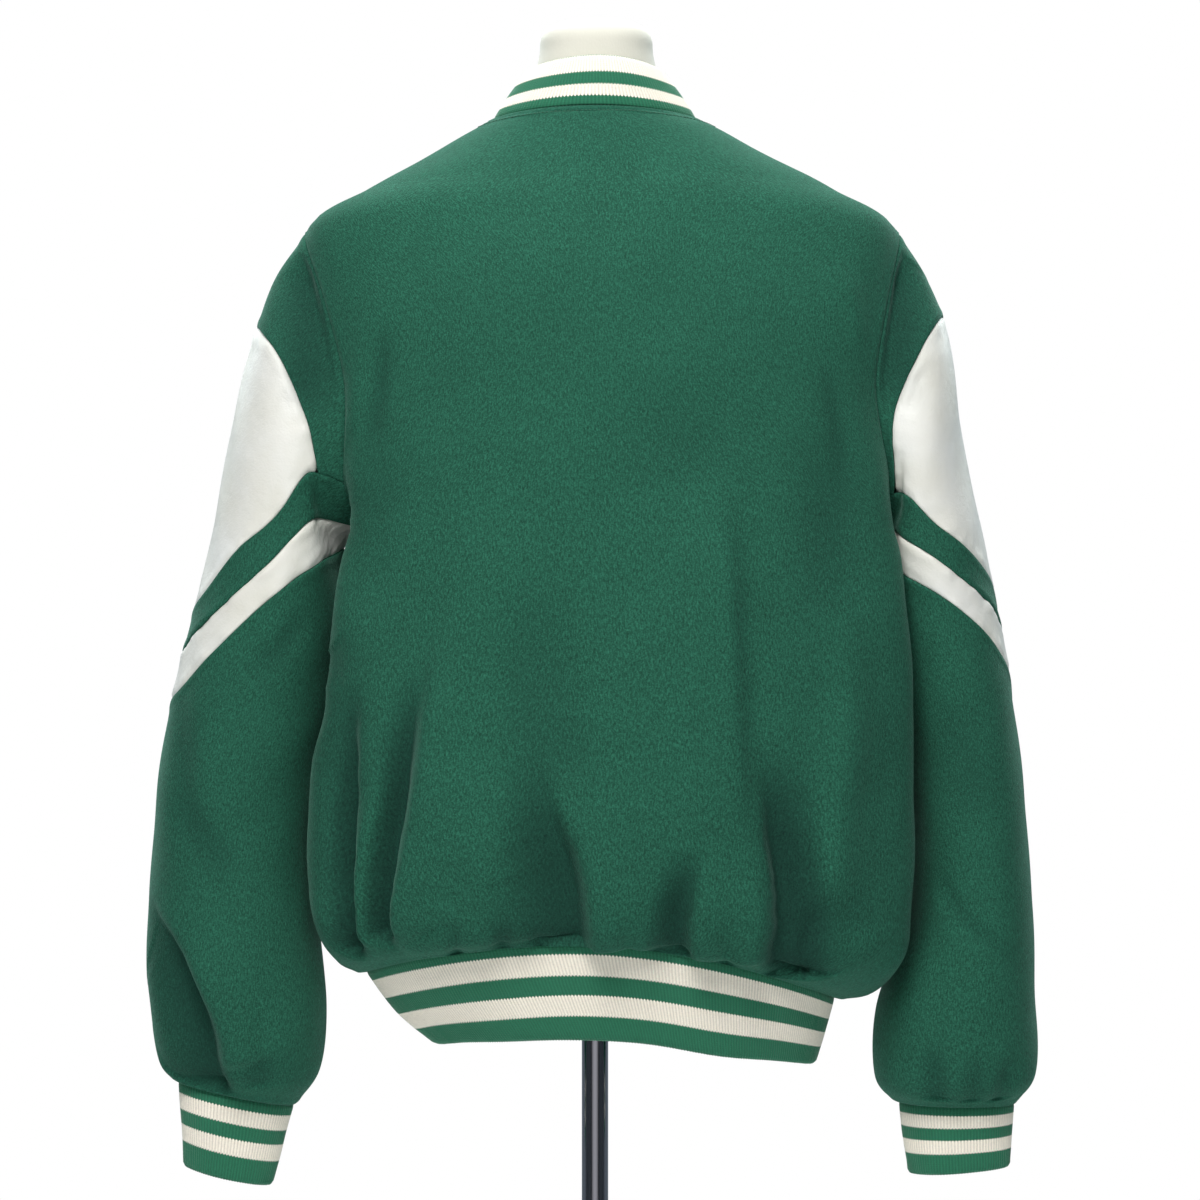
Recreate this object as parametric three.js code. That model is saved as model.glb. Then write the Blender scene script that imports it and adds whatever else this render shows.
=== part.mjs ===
import * as THREE from 'three';

// A wool varsity jacket worn by a limbless dress form on a pole and a round base.
// Millimetres. X runs to the wearer's left, Y to the back, Z up; the floor is Z = 0.

// Driving sizes
const NECK_HEIGHT = 1470; // back neck seam above the floor
const WOOL = 2.0; // thickness of the melton
const HIDE = 1.6; // thickness of the leather
const RIB = 2.4; // thickness of the rib knit
const SEAM_GAP = 0.3; // between two pieces at a seam
const LAP = 30; // overlap of the fronts at the closure
const LAP_EASE = 28; // width over which the top front rises onto the other
const SNAP_COUNT = 6; // on the front, besides one on the hem rib
const SNAP_RADIUS = 7.5;
const SNAP_HIGH = 2.6;
const POLE_RADIUS = 9.5;
const BASE_RADIUS = 170;
const BASE_THICK = 10;
const FORM_FLOOR = 862; // underside of the dress form
const POLE_SEGMENTS = 32;
const BASE_SEGMENTS = 48;
const SNAP_SEGMENTS = 14;
const BASE_ROUNDING = 2; // of its upper edge
const SNAP_TOP = 1374; // height of the topmost snap
const SNAP_PITCH = 88;
const RIB_SNAP = 826; // height of the snap on the hem rib
const COLLAR_GAP = 6; // between the collar's ends

const DEGREE = Math.PI / 180;
const LEFT = 1;
const RIGHT = -1;

// Turns divide a ring: 0 at the wearer's left side, 90 degrees at the centre back.
const QUARTER_COLUMNS = 9;
const RING_STEP = (90 * DEGREE) / QUARTER_COLUMNS;
const FRONT = -90 * DEGREE;
// Turns round a sleeve: 0 on its outer line, 90 degrees at the back, 180 under the arm.
const SLEEVE_STEP = 15 * DEGREE;

// Rings of the body from the hem seam up to the neck seam. The first three columns are the drop
// below the back neck seam at the back, the sides and the front; half is the half width,
// shift the ring's centre in X, behind and ahead its two depths, square the fullness of its
// corners, pinch the hollow under each arm and tilt the rise towards the wearer's left.
const BODY = table('back side front half shift behind ahead square pinch tilt', [
  [588, 626, 618, 168, -4, 132, 128, 2.3, 0.0, 0.055], // hem seam
  [585, 620, 612, 190, -7, 150, 142, 2.4, 0.0, 0.055], // under the blouse
  [570, 600, 597, 205, -10, 162, 152, 2.4, 0.01, 0.045], // bottom of the blouse
  [540, 560, 560, 213, -10, 168, 157, 2.4, 0.03, 0.03], // fullest
  [485, 495, 495, 216, -10, 166, 158, 2.4, 0.05, 0.015],
  [400, 405, 410, 215, -14, 158, 155, 2.4, 0.09, 0.0], // waist
  [320, 325, 330, 209, -16, 150, 150, 2.4, 0.14, 0.0], // chest
  [245, 295, 262, 206, -15, 141, 145, 2.4, 0.17, 0.0], // underarm
  [178, 215, 200, 213, -11, 130, 138, 2.4, 0.12, 0.0],
  [122, 145, 150, 219, -8, 117, 126, 2.4, 0.05, 0.0],
  [72, 86, 110, 213, -5, 97, 108, 2.3, 0.0, 0.0], // shoulder tip
  [44, 57, 92, 170, -5, 82, 90, 2.2, 0.0, 0.0],
  [24, 35, 82, 129, -4, 71, 79, 2.1, 0.0, 0.0],
  [8, 15, 76, 94, -2, 63, 71, 2.0, 0.0, 0.0],
  [0, 5, 74, 73, 0, 58, 66, 2.0, 0.0, 0.0], // neck seam
]);
const HEM_SEAM = 0;
const UNDERARM = 7;
const SHOULDER_TIP = 10;
const NECK_SEAM = 14;
const ARMHOLE_TURN = 31 * DEGREE; // reach of each armhole towards the back and the front
const ARMHOLE_EGG = 0.8; // under 1, the armhole is fuller low down
const PINCH_WIDTH = 0.42; // sine of the turn to which the hollow under the arm reaches
const HEM_BLEND = 1.5; // levels over which the folds grow from the hem seam

// Largest folds of the body: turn of the crest in degrees, its width in degrees, the levels
// between which it runs, and its height, negative for a trough.
const FOLDS = table('turn wide low high rise', [
  [130, 15, 0, 4.2, 5],
  [150, 13, 0, 4.6, -5],
  [60, 14, 0, 3.6, 5],
  [42, 13, 0, 5.2, -5],
  [28, 12, 0, 4.2, 5],
  [94, 11, 0, 3.2, -5],
  [214, 14, 0, 3.8, 5],
  [238, 13, 0, 4.4, -5],
  [306, 14, 0, 3.6, 4],
  [328, 13, 0, 4.6, -5],
]);

// The hem rib below the body, and the stand collar above it, in the body's columns.
const HEM_RIB = table('back side front half shift behind ahead square pinch tilt', [
  [588, 626, 618, 168, -4, 132, 128, 2.3, 0, 0.055],
  [620, 652, 646, 154, -11, 123, 120, 2.3, 0, 0.045],
  [655, 674, 669, 137, -21, 112, 110, 2.3, 0, 0.045],
]);
const COLLAR = table('back side front half shift behind ahead square pinch tilt', [
  [-0.6, 4.4, 73.4, 73, 0, 58, 66, 2.0, 0, 0],
  [-17, -14, 57, 61, 0, 54, 59, 2.0, 0, 0],
  [-37, -30, 37, 49, 0, 47, 51, 2.0, 0, 0],
]);

// Rings of each sleeve from the armhole down to the cuff seam: the X and Z of the outer and
// the inner line, the ring's centre in Y, its half depth and the fullness of its corners.
const SLEEVE_COLUMNS = 'outX outZ inX inZ mid deep square';
const SLEEVES = {
  [LEFT]: table(SLEEVE_COLUMNS, [
    [208, 1384, 156, 1175, 0, 75, 2.1],
    [230, 1352, 178, 1163, -3, 79, 2.1],
    [244, 1313, 184, 1140, -6, 80, 2.1],
    [261, 1250, 182, 1108, -8, 79, 2.1],
    [275, 1175, 184, 1070, -10, 78, 2.1],
    [293, 1100, 190, 1030, -12, 78, 2.1],
    [308, 1035, 199, 990, -13, 78, 2.1],
    [318, 965, 203, 940, -14, 77, 2.2],
    [322, 895, 199, 885, -14, 76, 2.2],
    [323, 840, 195, 825, -14, 73, 2.2],
    [315, 788, 199, 780, -14, 62, 2.2],
    [301, 773, 218, 755, -14, 34, 2.1],
  ]),
  [RIGHT]: table(SLEEVE_COLUMNS, [
    [216, 1384, 186, 1175, 0, 75, 2.1],
    [237, 1352, 200, 1163, -3, 79, 2.1],
    [253, 1313, 205, 1140, -6, 80, 2.1],
    [263, 1250, 208, 1108, -8, 79, 2.1],
    [277, 1175, 214, 1070, -10, 78, 2.1],
    [293, 1100, 221, 1030, -12, 78, 2.1],
    [304, 1035, 226, 990, -13, 78, 2.1],
    [311, 965, 228, 940, -14, 77, 2.2],
    [316, 895, 224, 885, -14, 76, 2.2],
    [318, 835, 204, 825, -14, 73, 2.2],
    [319, 778, 203, 775, -14, 62, 2.2],
    [303, 756, 220, 757, -14, 34, 2.1],
  ]),
};
const ARMHOLE_BLEND = 2.5; // rings over which the sleeve leaves the armhole's own outline
const CUFFS = {
  [LEFT]: table(SLEEVE_COLUMNS, [
    [301, 773, 218, 755, -14, 34, 2.1],
    [299, 740, 226, 727, -14, 33, 2.1],
    [298, 712, 234, 698, -14, 30, 2.1],
  ]),
  [RIGHT]: table(SLEEVE_COLUMNS, [
    [303, 756, 220, 757, -14, 34, 2.1],
    [301, 735, 223, 732, -14, 33, 2.1],
    [300, 712, 226, 706, -14, 30, 2.1],
  ]),
};

// Lower edges of the sleeve's inserts, as levels in the rings above, a row every 30 degrees
// from the outer line to the underarm. Back and front are alike.
const INSERT_STEP = 30 * DEGREE;
const INSERTS = {
  [LEFT]: table('cap leather band stripe', [
    [1.95, 4.85, 5.3, 5.85],
    [1.82, 4.6, 5.0, 5.6],
    [1.52, 3.88, 4.42, 4.95],
    [1.2, 2.92, 3.52, 4.05],
    [0.9, 0.95, 2.2, 3.05],
    [0.5, -1.0, 0.8, 2.0],
    [0.3, -2.0, 0.4, 1.3],
  ]),
  [RIGHT]: table('cap leather band stripe', [
    [1.8, 4.75, 5.05, 5.7],
    [1.62, 4.4, 4.75, 5.27],
    [1.3, 3.85, 4.27, 4.7],
    [0.83, 3.03, 3.55, 4.02],
    [0.5, 1.6, 2.55, 3.2],
    [0.4, -0.6, 1.2, 2.2],
    [0.3, -2.0, 0.5, 1.4],
  ]),
};
// Turn of the leather's points, and of the points where the seam beyond meets the armhole.
const LEATHER_TIP = { [LEFT]: 120 * DEGREE, [RIGHT]: 135 * DEGREE };
const CAP_TIP = { [LEFT]: 135 * DEGREE, [RIGHT]: 150 * DEGREE };

// The dress form below its shoulders, and its neck up to the rounded cap, in the body's columns.
const FORM_COLUMNS = 'back side front half shift behind ahead';
const FORM_TRUNK = table(FORM_COLUMNS, [
  [580, 580, 580, 148, -10, 102, 104],
  [530, 530, 530, 151, -10, 100, 102],
  [470, 470, 470, 146, -10, 92, 98],
  [410, 410, 410, 141, -11, 86, 98],
  [350, 350, 350, 144, -12, 92, 108],
  [275, 275, 275, 148, -14, 98, 114],
  [200, 200, 200, 158, -10, 94, 108],
  [150, 150, 150, 172, -7, 88, 98],
  [118, 118, 118, 184, -5, 86, 92],
]);
const FORM_NECK = table(FORM_COLUMNS, [
  [-2, 2, 72, 62, 0, 50, 54],
  [-12, -10, 52, 52, -1, 46, 47],
  [-26, -26, 20, 45, -1, 43, 41],
  [-42, -42, -26, 41, -1, 40, 38],
  [-53, -53, -53, 40, -1, 39, 37],
  [-61, -61, -61, 35, -1, 34, 32],
  [-66, -66, -66, 23, -1, 23, 21],
]);
const FORM_SQUARE = 2.2;
// Rings of the form's shoulders, as levels of the body, and how far each lies inside the cloth
const FORM_SHOULDERS = table('level clear', [
  [10.2, 9.0],
  [10.7, 4.5],
  [11.2, 1.1],
  [12.0, 1.1],
  [13.0, 1.1],
  [13.8, 2.5],
]);

// Colours, roughness and metalness of the pieces
const FINISHES = {
  wool: { color: 0x2e6753, roughness: 0.95, metalness: 0 },
  hide: { color: 0xe6e5dc, roughness: 0.5, metalness: 0 },
  rib: { color: 0x3a7562, roughness: 0.95, metalness: 0 },
  linen: { color: 0xf0ecdc, roughness: 0.8, metalness: 0 },
  chrome: { color: 0x9a9aa0, roughness: 0.15, metalness: 1 },
  nickel: { color: 0xb8b8b4, roughness: 0.3, metalness: 1 },
};

function table(columns, rows) {
  const names = columns.split(' ');
  return rows.map((row) => Object.fromEntries(names.map((name, i) => [name, row[i]])));
}

const clamp = (value, low, high) => Math.min(Math.max(value, low), high);

function ease(value) {
  const t = clamp(value, 0, 1);
  return t * t * (3 - 2 * t);
}

// The row at a level between the rows of a table, on a smooth curve through them
function rowAt(rows, level) {
  const last = rows.length - 1;
  const place = clamp(level, 0, last);
  const i = Math.min(Math.floor(place), last - 1);
  const t = place - i;
  const [a, b, c, d] = [i - 1, i, i + 1, i + 2].map((k) => rows[clamp(k, 0, last)]);
  const mixed = {};
  for (const name of Object.keys(b)) {
    const slope = (c[name] - a[name]) * t;
    const bend = (2 * a[name] - 5 * b[name] + 4 * c[name] - d[name]) * t * t;
    const twist = (3 * b[name] - a[name] - 3 * c[name] + d[name]) * t ** 3;
    mixed[name] = b[name] + 0.5 * (slope + bend + twist);
  }
  return mixed;
}

// Cosine and sine of a turn on an oval whose corners are fuller where square is over 2
function ovalAt(turn, square) {
  const across = Math.cos(turn);
  const deep = Math.sin(turn);
  const reach = (Math.abs(across) ** square + Math.abs(deep) ** square) ** (-1 / square);
  return [reach * across, reach * deep];
}

function ringPoint(row, turn) {
  const [across, deep] = ovalAt(turn, row.square);
  const hollow = 1 - row.pinch * Math.exp(-((Math.sin(turn) / PINCH_WIDTH) ** 2));
  const x = row.shift + row.half * hollow * across;
  const y = (deep > 0 ? row.behind : row.ahead) * hollow * deep;
  const ends = deep > 0 ? row.back : row.front;
  const drop = row.side + (ends - row.side) * Math.sin(turn) ** 2;
  return new THREE.Vector3(x, y, NECK_HEIGHT - drop + row.tilt * x);
}

// Height of the folds at a place on the body; they die out at the hem seam and at their tops
function foldRise(turn, level) {
  let rise = 0;
  for (const fold of FOLDS) {
    const off = Math.atan2(Math.sin(turn - fold.turn * DEGREE), Math.cos(turn - fold.turn * DEGREE));
    const across = Math.exp(-((off / (fold.wide * DEGREE * 0.5)) ** 2));
    const along = ease(level / HEM_BLEND) * (1 - ease((level - fold.low) / (fold.high - fold.low)));
    rise += fold.rise * across * along;
  }
  return rise;
}

function bodyPoint(turn, level) {
  const point = ringPoint(rowAt(BODY, level), turn);
  const rise = foldRise(turn, level);
  return point.add(new THREE.Vector3(Math.cos(turn) * rise, Math.sin(turn) * rise, 0));
}

// The unit normal of a surface given by turn and level; way is 1 or -1
function normalOf(surface, turn, level, top, way) {
  const step = 0.002;
  const low = clamp(level - step, 0, top);
  const high = clamp(level + step, 0, top);
  const round = surface(turn + step, level).sub(surface(turn - step, level));
  const up = surface(turn, high).sub(surface(turn, low));
  return round.cross(up).multiplyScalar(way).normalize();
}

// Half angle that the armhole takes out of a body ring, and the level for a sleeve turn
function armholeLevel(turn) {
  const share = ((1 + Math.cos(turn)) / 2) ** (1 / ARMHOLE_EGG);
  return UNDERARM + (SHOULDER_TIP - UNDERARM) * share;
}

function armholeTurn(side, turn) {
  const off = ARMHOLE_TURN * Math.sin(turn);
  return side === LEFT ? off : Math.PI - off;
}

const armholePoint = (side, turn) => bodyPoint(armholeTurn(side, turn), armholeLevel(turn));

function tubePoint(rows, side, turn, level) {
  const row = rowAt(rows, level);
  const [across, deep] = ovalAt(turn, row.square);
  const x = (row.outX + row.inX) / 2 + ((row.outX - row.inX) / 2) * across;
  const z = (row.outZ + row.inZ) / 2 + ((row.outZ - row.inZ) / 2) * across;
  return new THREE.Vector3(side * x, row.mid + row.deep * deep, z);
}

function sleevePoint(side, turn, level) {
  const rows = SLEEVES[side];
  const start = armholePoint(side, turn).sub(tubePoint(rows, side, turn, 0));
  const held = 1 - ease(level / ARMHOLE_BLEND);
  return tubePoint(rows, side, turn, level).addScaledVector(start, held);
}

// Lower edge of a sleeve insert at a turn, as a level; back and front are alike
function insertEdge(side, insert, turn) {
  const off = Math.abs(Math.atan2(Math.sin(turn), Math.cos(turn)));
  if (insert === 'cap' && off > LEATHER_TIP[side] - 1e-6) return insertEdge(side, 'leather', turn);
  if (insert === 'leather' && off > CAP_TIP[side] - 1e-6) return 0;
  return Math.max(rowAt(INSERTS[side], off / INSERT_STEP)[insert], 0);
}

// Direction of the wall at a seam where two surfaces meet at an angle, so that both walls
// end on one face. It is longer than 1 where the angle is sharp.
const SHARPEST = 0.5;
const SHARPEST_TIP = 0.15; // keeps the tip of a very sharp piece from drawing back too far

function mitre(first, second) {
  const way = first.clone().add(second).normalize();
  return way.multiplyScalar(1 / Math.max(way.dot(first), SHARPEST));
}

const bodyWay = (turn, level) => normalOf(bodyPoint, turn, level, NECK_SEAM, 1);

function sleeveWay(side, turn, level) {
  const surface = (a, b) => sleevePoint(side, a, b);
  return normalOf(surface, turn, level, SLEEVES[side].length - 1, -side);
}

function stripWay(rows, turn, level, way) {
  const surface = (a, b) => ringPoint(rowAt(rows, b), a);
  return normalOf(surface, turn, level, rows.length - 1, way);
}

function cuffWay(side, turn, level) {
  const surface = (a, b) => tubePoint(CUFFS[side], side, a, b);
  return normalOf(surface, turn, level, CUFFS[side].length - 1, -side);
}

function armholeWay(side, turn) {
  const body = bodyWay(armholeTurn(side, turn), armholeLevel(turn));
  return mitre(body, sleeveWay(side, turn, 0));
}

const hemWay = (turn) => mitre(bodyWay(turn, HEM_SEAM), stripWay(HEM_RIB, turn, 0, -1));
const neckWay = (turn) => mitre(bodyWay(turn, NECK_SEAM), stripWay(COLLAR, turn, 0, 1));

function cuffSeamWay(side, turn) {
  return mitre(sleeveWay(side, turn, SLEEVES[side].length - 1), cuffWay(side, turn, 0));
}

// Moves a loop of edge points in by half a seam gap, square to the edges that meet at each.
// Points of the loop that share a place move together, so that a piece may end in a tip.
// inside gives a grid place on the loop and its neighbour within the piece.
function trimLoop(loop, points, ways, moved, inside) {
  const places = [];
  for (const [r, c] of loop) {
    const previous = places[places.length - 1];
    if (previous && previous.point.distanceTo(points[r][c]) < 1e-3) previous.members.push([r, c]);
    else places.push({ point: points[r][c], way: ways[r][c], members: [[r, c]] });
  }
  const first = places[0];
  if (first.point.distanceTo(places[places.length - 1].point) < 1e-3) {
    first.members.push(...places.pop().members);
  }
  const count = places.length;
  const inwardOf = (spot, from, to) => (
    spot.way.clone().normalize().cross(to.point.clone().sub(from.point)).normalize()
  );
  const [edge, within] = inside;
  const holds = ([r, c]) => r === edge[0] && c === edge[1];
  const start = places.findIndex((spot) => spot.members.some(holds));
  const corner = places[start];
  const next = places[(start + 1) % count];
  const towards = points[within[0]][within[1]].clone().sub(corner.point);
  const facing = Math.sign(inwardOf(corner, corner, next).dot(towards));
  places.forEach((spot, i) => {
    const before = inwardOf(spot, places[(i + count - 1) % count], spot);
    const after = inwardOf(spot, spot, places[(i + 1) % count]);
    const spread = Math.max(1 + before.dot(after), SHARPEST_TIP);
    const shift = before.add(after).multiplyScalar((facing * SEAM_GAP) / 2 / spread);
    for (const [r, c] of spot.members) moved[r][c].add(shift);
  });
}

function trimEdges(points, ways, closed) {
  const lastRow = points.length - 1;
  const lastColumn = points[0].length - 1;
  const middle = Math.floor(lastColumn / 2);
  const moved = points.map((row) => row.map((point) => point.clone()));
  const across = points[0].map((point, c) => c);
  const along = points.map((row, r) => r);
  const top = across.map((c) => [0, c]);
  const bottom = across.map((c) => [lastRow, c]).reverse();
  if (closed) {
    trimLoop(top, points, ways, moved, [[0, middle], [1, middle]]);
    trimLoop(bottom, points, ways, moved, [[lastRow, middle], [lastRow - 1, middle]]);
  } else {
    const down = along.map((r) => [r, lastColumn]);
    const up = along.map((r) => [r, 0]).reverse();
    const loop = [...top, ...down.slice(1), ...bottom.slice(1), ...up.slice(1, -1)];
    trimLoop(loop, points, ways, moved, [[0, middle], [1, middle]]);
  }
  return moved;
}

// A closed wall under a grid of points: ways point out of the cloth, thick is its thickness
function wall(grid, thick, closed) {
  const outer = trimEdges(grid.points, grid.ways, closed);
  const inner = outer.map((row, r) => row.map((point, c) => (
    point.clone().addScaledVector(grid.ways[r][c], -thick)
  )));
  const rows = outer.length;
  const columns = outer[0].length;
  const wrap = closed ? columns : columns - 1;
  const faces = [];
  // Each cell of the grid is split along its shorter diagonal, on both faces of the wall
  for (let r = 0; r < rows - 1; r += 1) {
    for (let c = 0; c < wrap; c += 1) {
      const n = (c + 1) % columns;
      const fall = outer[r][c].distanceTo(outer[r + 1][n]);
      const falling = fall < outer[r][n].distanceTo(outer[r + 1][c]);
      const cell = (side) => [side[r][c], side[r][n], side[r + 1][n], side[r + 1][c]];
      for (const [[a, b, d, e], inside] of [[cell(outer), false], [cell(inner), true]]) {
        const halves = falling ? [[a, b, d], [a, d, e]] : [[a, b, e], [b, d, e]];
        faces.push(...halves.map((half) => (inside ? half.reverse() : half)));
      }
    }
  }
  // Both pieces at a seam split its face from the lower outer corner, so that they match
  const rimQuad = (outA, outB, inB, inA) => {
    if (outA.z < outB.z) faces.push([outA, outB, inB], [outA, inB, inA]);
    else faces.push([outA, outB, inA], [outB, inB, inA]);
  };
  const bottom = rows - 1;
  for (let c = 0; c < wrap; c += 1) {
    const n = (c + 1) % columns;
    rimQuad(outer[0][n], outer[0][c], inner[0][c], inner[0][n]);
    rimQuad(outer[bottom][c], outer[bottom][n], inner[bottom][n], inner[bottom][c]);
  }
  const end = columns - 1;
  for (let r = 0; r < bottom && !closed; r += 1) {
    rimQuad(outer[r][0], outer[r + 1][0], inner[r + 1][0], inner[r][0]);
    rimQuad(outer[r + 1][end], outer[r][end], inner[r][end], inner[r + 1][end]);
  }
  return solid(faces);
}

// A geometry of the faces given, facing out, with shared corners and no flat-out slivers
function solid(faces) {
  const places = new Map();
  const positions = [];
  const index = [];
  const cornerOf = (point) => {
    const key = point.toArray().map((value) => value.toFixed(3)).join(' ');
    if (!places.has(key)) {
      places.set(key, positions.length / 3);
      positions.push(...point.toArray());
    }
    return places.get(key);
  };
  for (const face of faces) {
    const corners = face.map(cornerOf);
    if (new Set(corners).size === 3) index.push(...corners);
  }
  let volume = 0;
  const corner = (i) => new THREE.Vector3().fromArray(positions, index[i] * 3);
  for (let i = 0; i < index.length; i += 3) {
    volume += corner(i).dot(corner(i + 1).cross(corner(i + 2)));
  }
  if (volume < 0) index.reverse();
  const geometry = new THREE.BufferGeometry();
  geometry.setAttribute('position', new THREE.Float32BufferAttribute(positions, 3));
  geometry.setIndex(index);
  geometry.computeVertexNormals();
  return geometry;
}

// Rows of the body's panels. Those that end on an armhole do so at one of the sleeve's own
// turns, and keep an even spacing of their own further in.
const BELOW_ARMHOLE = 6.75;
const ABOVE_ARMHOLE = 10.2;
const ROWS_BELOW = [HEM_SEAM, 0.6, 1.3, 2, 3, 4, 5, 6];
const ROWS_ABOVE = [11.3, 12.6, NECK_SEAM];

function bodyRows() {
  const plain = (level) => ({ level, cut: 0 });
  const rows = ROWS_BELOW.map(plain);
  const count = Math.round(Math.PI / SLEEVE_STEP);
  for (let i = 0; i <= count; i += 1) {
    const sleeveTurn = Math.PI - i * SLEEVE_STEP;
    const level = BELOW_ARMHOLE + ((ABOVE_ARMHOLE - BELOW_ARMHOLE) * i) / count;
    rows.push({ level, sleeveTurn, cut: ARMHOLE_TURN * Math.sin(sleeveTurn) });
  }
  return rows.concat(ROWS_ABOVE.map(plain));
}

const LAP_LIFT = RIB + SEAM_GAP; // the upper front lies this far out over the other
const FACES_DOWN = 2; // levels above the hem seam in which the cloth faces down
const FACES_UP = 3; // levels above the underarm over which it comes to face up

// Shift of the wearer's left front over the other near the centre front. It also goes down
// under the blouse, where the cloth faces down, and up towards the neck, where it faces up.
function lapShift(x, level) {
  const share = 1 - ease((x - LAP / 2 - SEAM_GAP) / LAP_EASE);
  const up = ease((level - UNDERARM) / FACES_UP) - (1 - ease(level / FACES_DOWN));
  return new THREE.Vector3(0, -LAP_LIFT, LAP_LIFT * up).multiplyScalar(share);
}

// Turn by which a front passes the centre at a ring of the half width given
const lapTurn = (half) => Math.asin(LAP / 2 / half);

// A body panel between two turns per row. armholes tells whether it starts and ends on one,
// and facing is 1 on the back and -1 on a front, whose sleeve turns are negative.
function bodyPanel({ start, end, columns, armholes, facing, lapped }) {
  const points = [];
  const ways = [];
  for (const row of bodyRows()) {
    const first = start(row);
    const last = end(row);
    const pointRow = [];
    const wayRow = [];
    for (let c = 0; c <= columns; c += 1) {
      const turn = first + ((last - first) * c) / columns;
      const atEdge = (c === 0 && armholes[0]) || (c === columns && armholes[1]);
      const onArmhole = atEdge && row.sleeveTurn !== undefined;
      const level = onArmhole ? armholeLevel(row.sleeveTurn) : row.level;
      const point = bodyPoint(turn, level);
      if (lapped) point.add(lapShift(point.x, level));
      let way = bodyWay(turn, level);
      if (onArmhole) way = armholeWay(point.x > 0 ? LEFT : RIGHT, facing * row.sleeveTurn);
      if (level === HEM_SEAM) way = hemWay(turn);
      if (level === NECK_SEAM) way = neckWay(turn);
      pointRow.push(point);
      wayRow.push(way);
    }
    points.push(pointRow);
    ways.push(wayRow);
  }
  return { points, ways };
}

const backPanel = () => bodyPanel({
  start: (row) => row.cut,
  end: (row) => Math.PI - row.cut,
  columns: 2 * QUARTER_COLUMNS,
  armholes: [true, true],
  facing: 1,
  lapped: false,
});

const frontPanel = (side) => bodyPanel({
  start: (row) => (side === LEFT ? -row.cut : Math.PI + row.cut),
  end: (row) => {
    const past = lapTurn(rowAt(BODY, row.level).half);
    return side === LEFT ? FRONT - past : FRONT + 2 * Math.PI + past;
  },
  columns: QUARTER_COLUMNS,
  armholes: [true, false],
  facing: -1,
  lapped: side === LEFT,
});

// Turns from the end of one front round the back to the end of the other, at the columns
// of the body's panels. past is the turn by which each end passes the centre front.
function turnsRound(past) {
  const quarter = QUARTER_COLUMNS;
  const turns = [];
  for (let c = -quarter; c < 0; c += 1) turns.push(((-FRONT + past) * c) / quarter);
  for (let c = 0; c < 2 * quarter; c += 1) turns.push(c * RING_STEP);
  for (let c = 0; c <= quarter; c += 1) turns.push(Math.PI + ((-FRONT + past) * c) / quarter);
  return turns;
}

// A strip of rib along the rings of a table; facing is 1 where it stands up, -1 where it hangs
function stripPanel(rows, turnsOf, facing, lapped, seamWay) {
  const points = [];
  const ways = [];
  for (let level = 0; level < rows.length; level += 1) {
    const turns = turnsOf(rows[level].half);
    ways.push(turns.map((turn) => (
      level === 0 ? seamWay(turn) : stripWay(rows, turn, level, facing)
    )));
    points.push(turns.map((turn) => {
      const point = ringPoint(rows[level], turn);
      return lapped && turn < 0 ? point.add(lapShift(point.x, HEM_SEAM)) : point;
    }));
  }
  return { points, ways };
}

const hemPanel = () => stripPanel(HEM_RIB, (half) => turnsRound(lapTurn(half)), -1, true, hemWay);

function collarPanel() {
  const turnsOf = (half) => turnsRound(-COLLAR_GAP / 2 / half);
  return stripPanel(COLLAR, turnsOf, 1, false, neckWay);
}

// A piece of sleeve between two edges, over the turns given. Where it is drawn in, its rows
// lie closer together towards the lower edge.
const DRAWN_IN = 1.4;

function sleevePanel(side, turns, upper, lower, steps, drawnIn) {
  const points = [];
  const ways = [];
  const last = SLEEVES[side].length - 1;
  for (let r = 0; r <= steps; r += 1) {
    const share = drawnIn ? 1 - (1 - r / steps) ** DRAWN_IN : r / steps;
    const levels = turns.map((turn) => {
      const top = upper(turn);
      return top + (lower(turn) - top) * share;
    });
    points.push(turns.map((turn, c) => sleevePoint(side, turn, levels[c])));
    ways.push(turns.map((turn, c) => {
      if (levels[c] < 1e-6) return armholeWay(side, turn);
      if (levels[c] > last - 1e-6) return cuffSeamWay(side, turn);
      return sleeveWay(side, turn, levels[c]);
    }));
  }
  return { points, ways };
}

// Turns of a sleeve piece's columns, from one side of the outer line to the other
function turnsWithin(limit) {
  const count = Math.round(limit / SLEEVE_STEP);
  return Array.from({ length: 2 * count + 1 }, (_, i) => (i - count) * SLEEVE_STEP);
}

function turnsAround() {
  const count = Math.round((2 * Math.PI) / SLEEVE_STEP);
  return Array.from({ length: count }, (_, i) => i * SLEEVE_STEP);
}

function cuffPanel(side) {
  const turns = turnsAround();
  const levels = CUFFS[side].map((row, level) => level);
  const points = levels.map((level) => (
    turns.map((turn) => tubePoint(CUFFS[side], side, turn, level))
  ));
  const ways = levels.map((level) => turns.map((turn) => (
    level === 0 ? cuffSeamWay(side, turn) : cuffWay(side, turn, level)
  )));
  return { points, ways };
}

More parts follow.
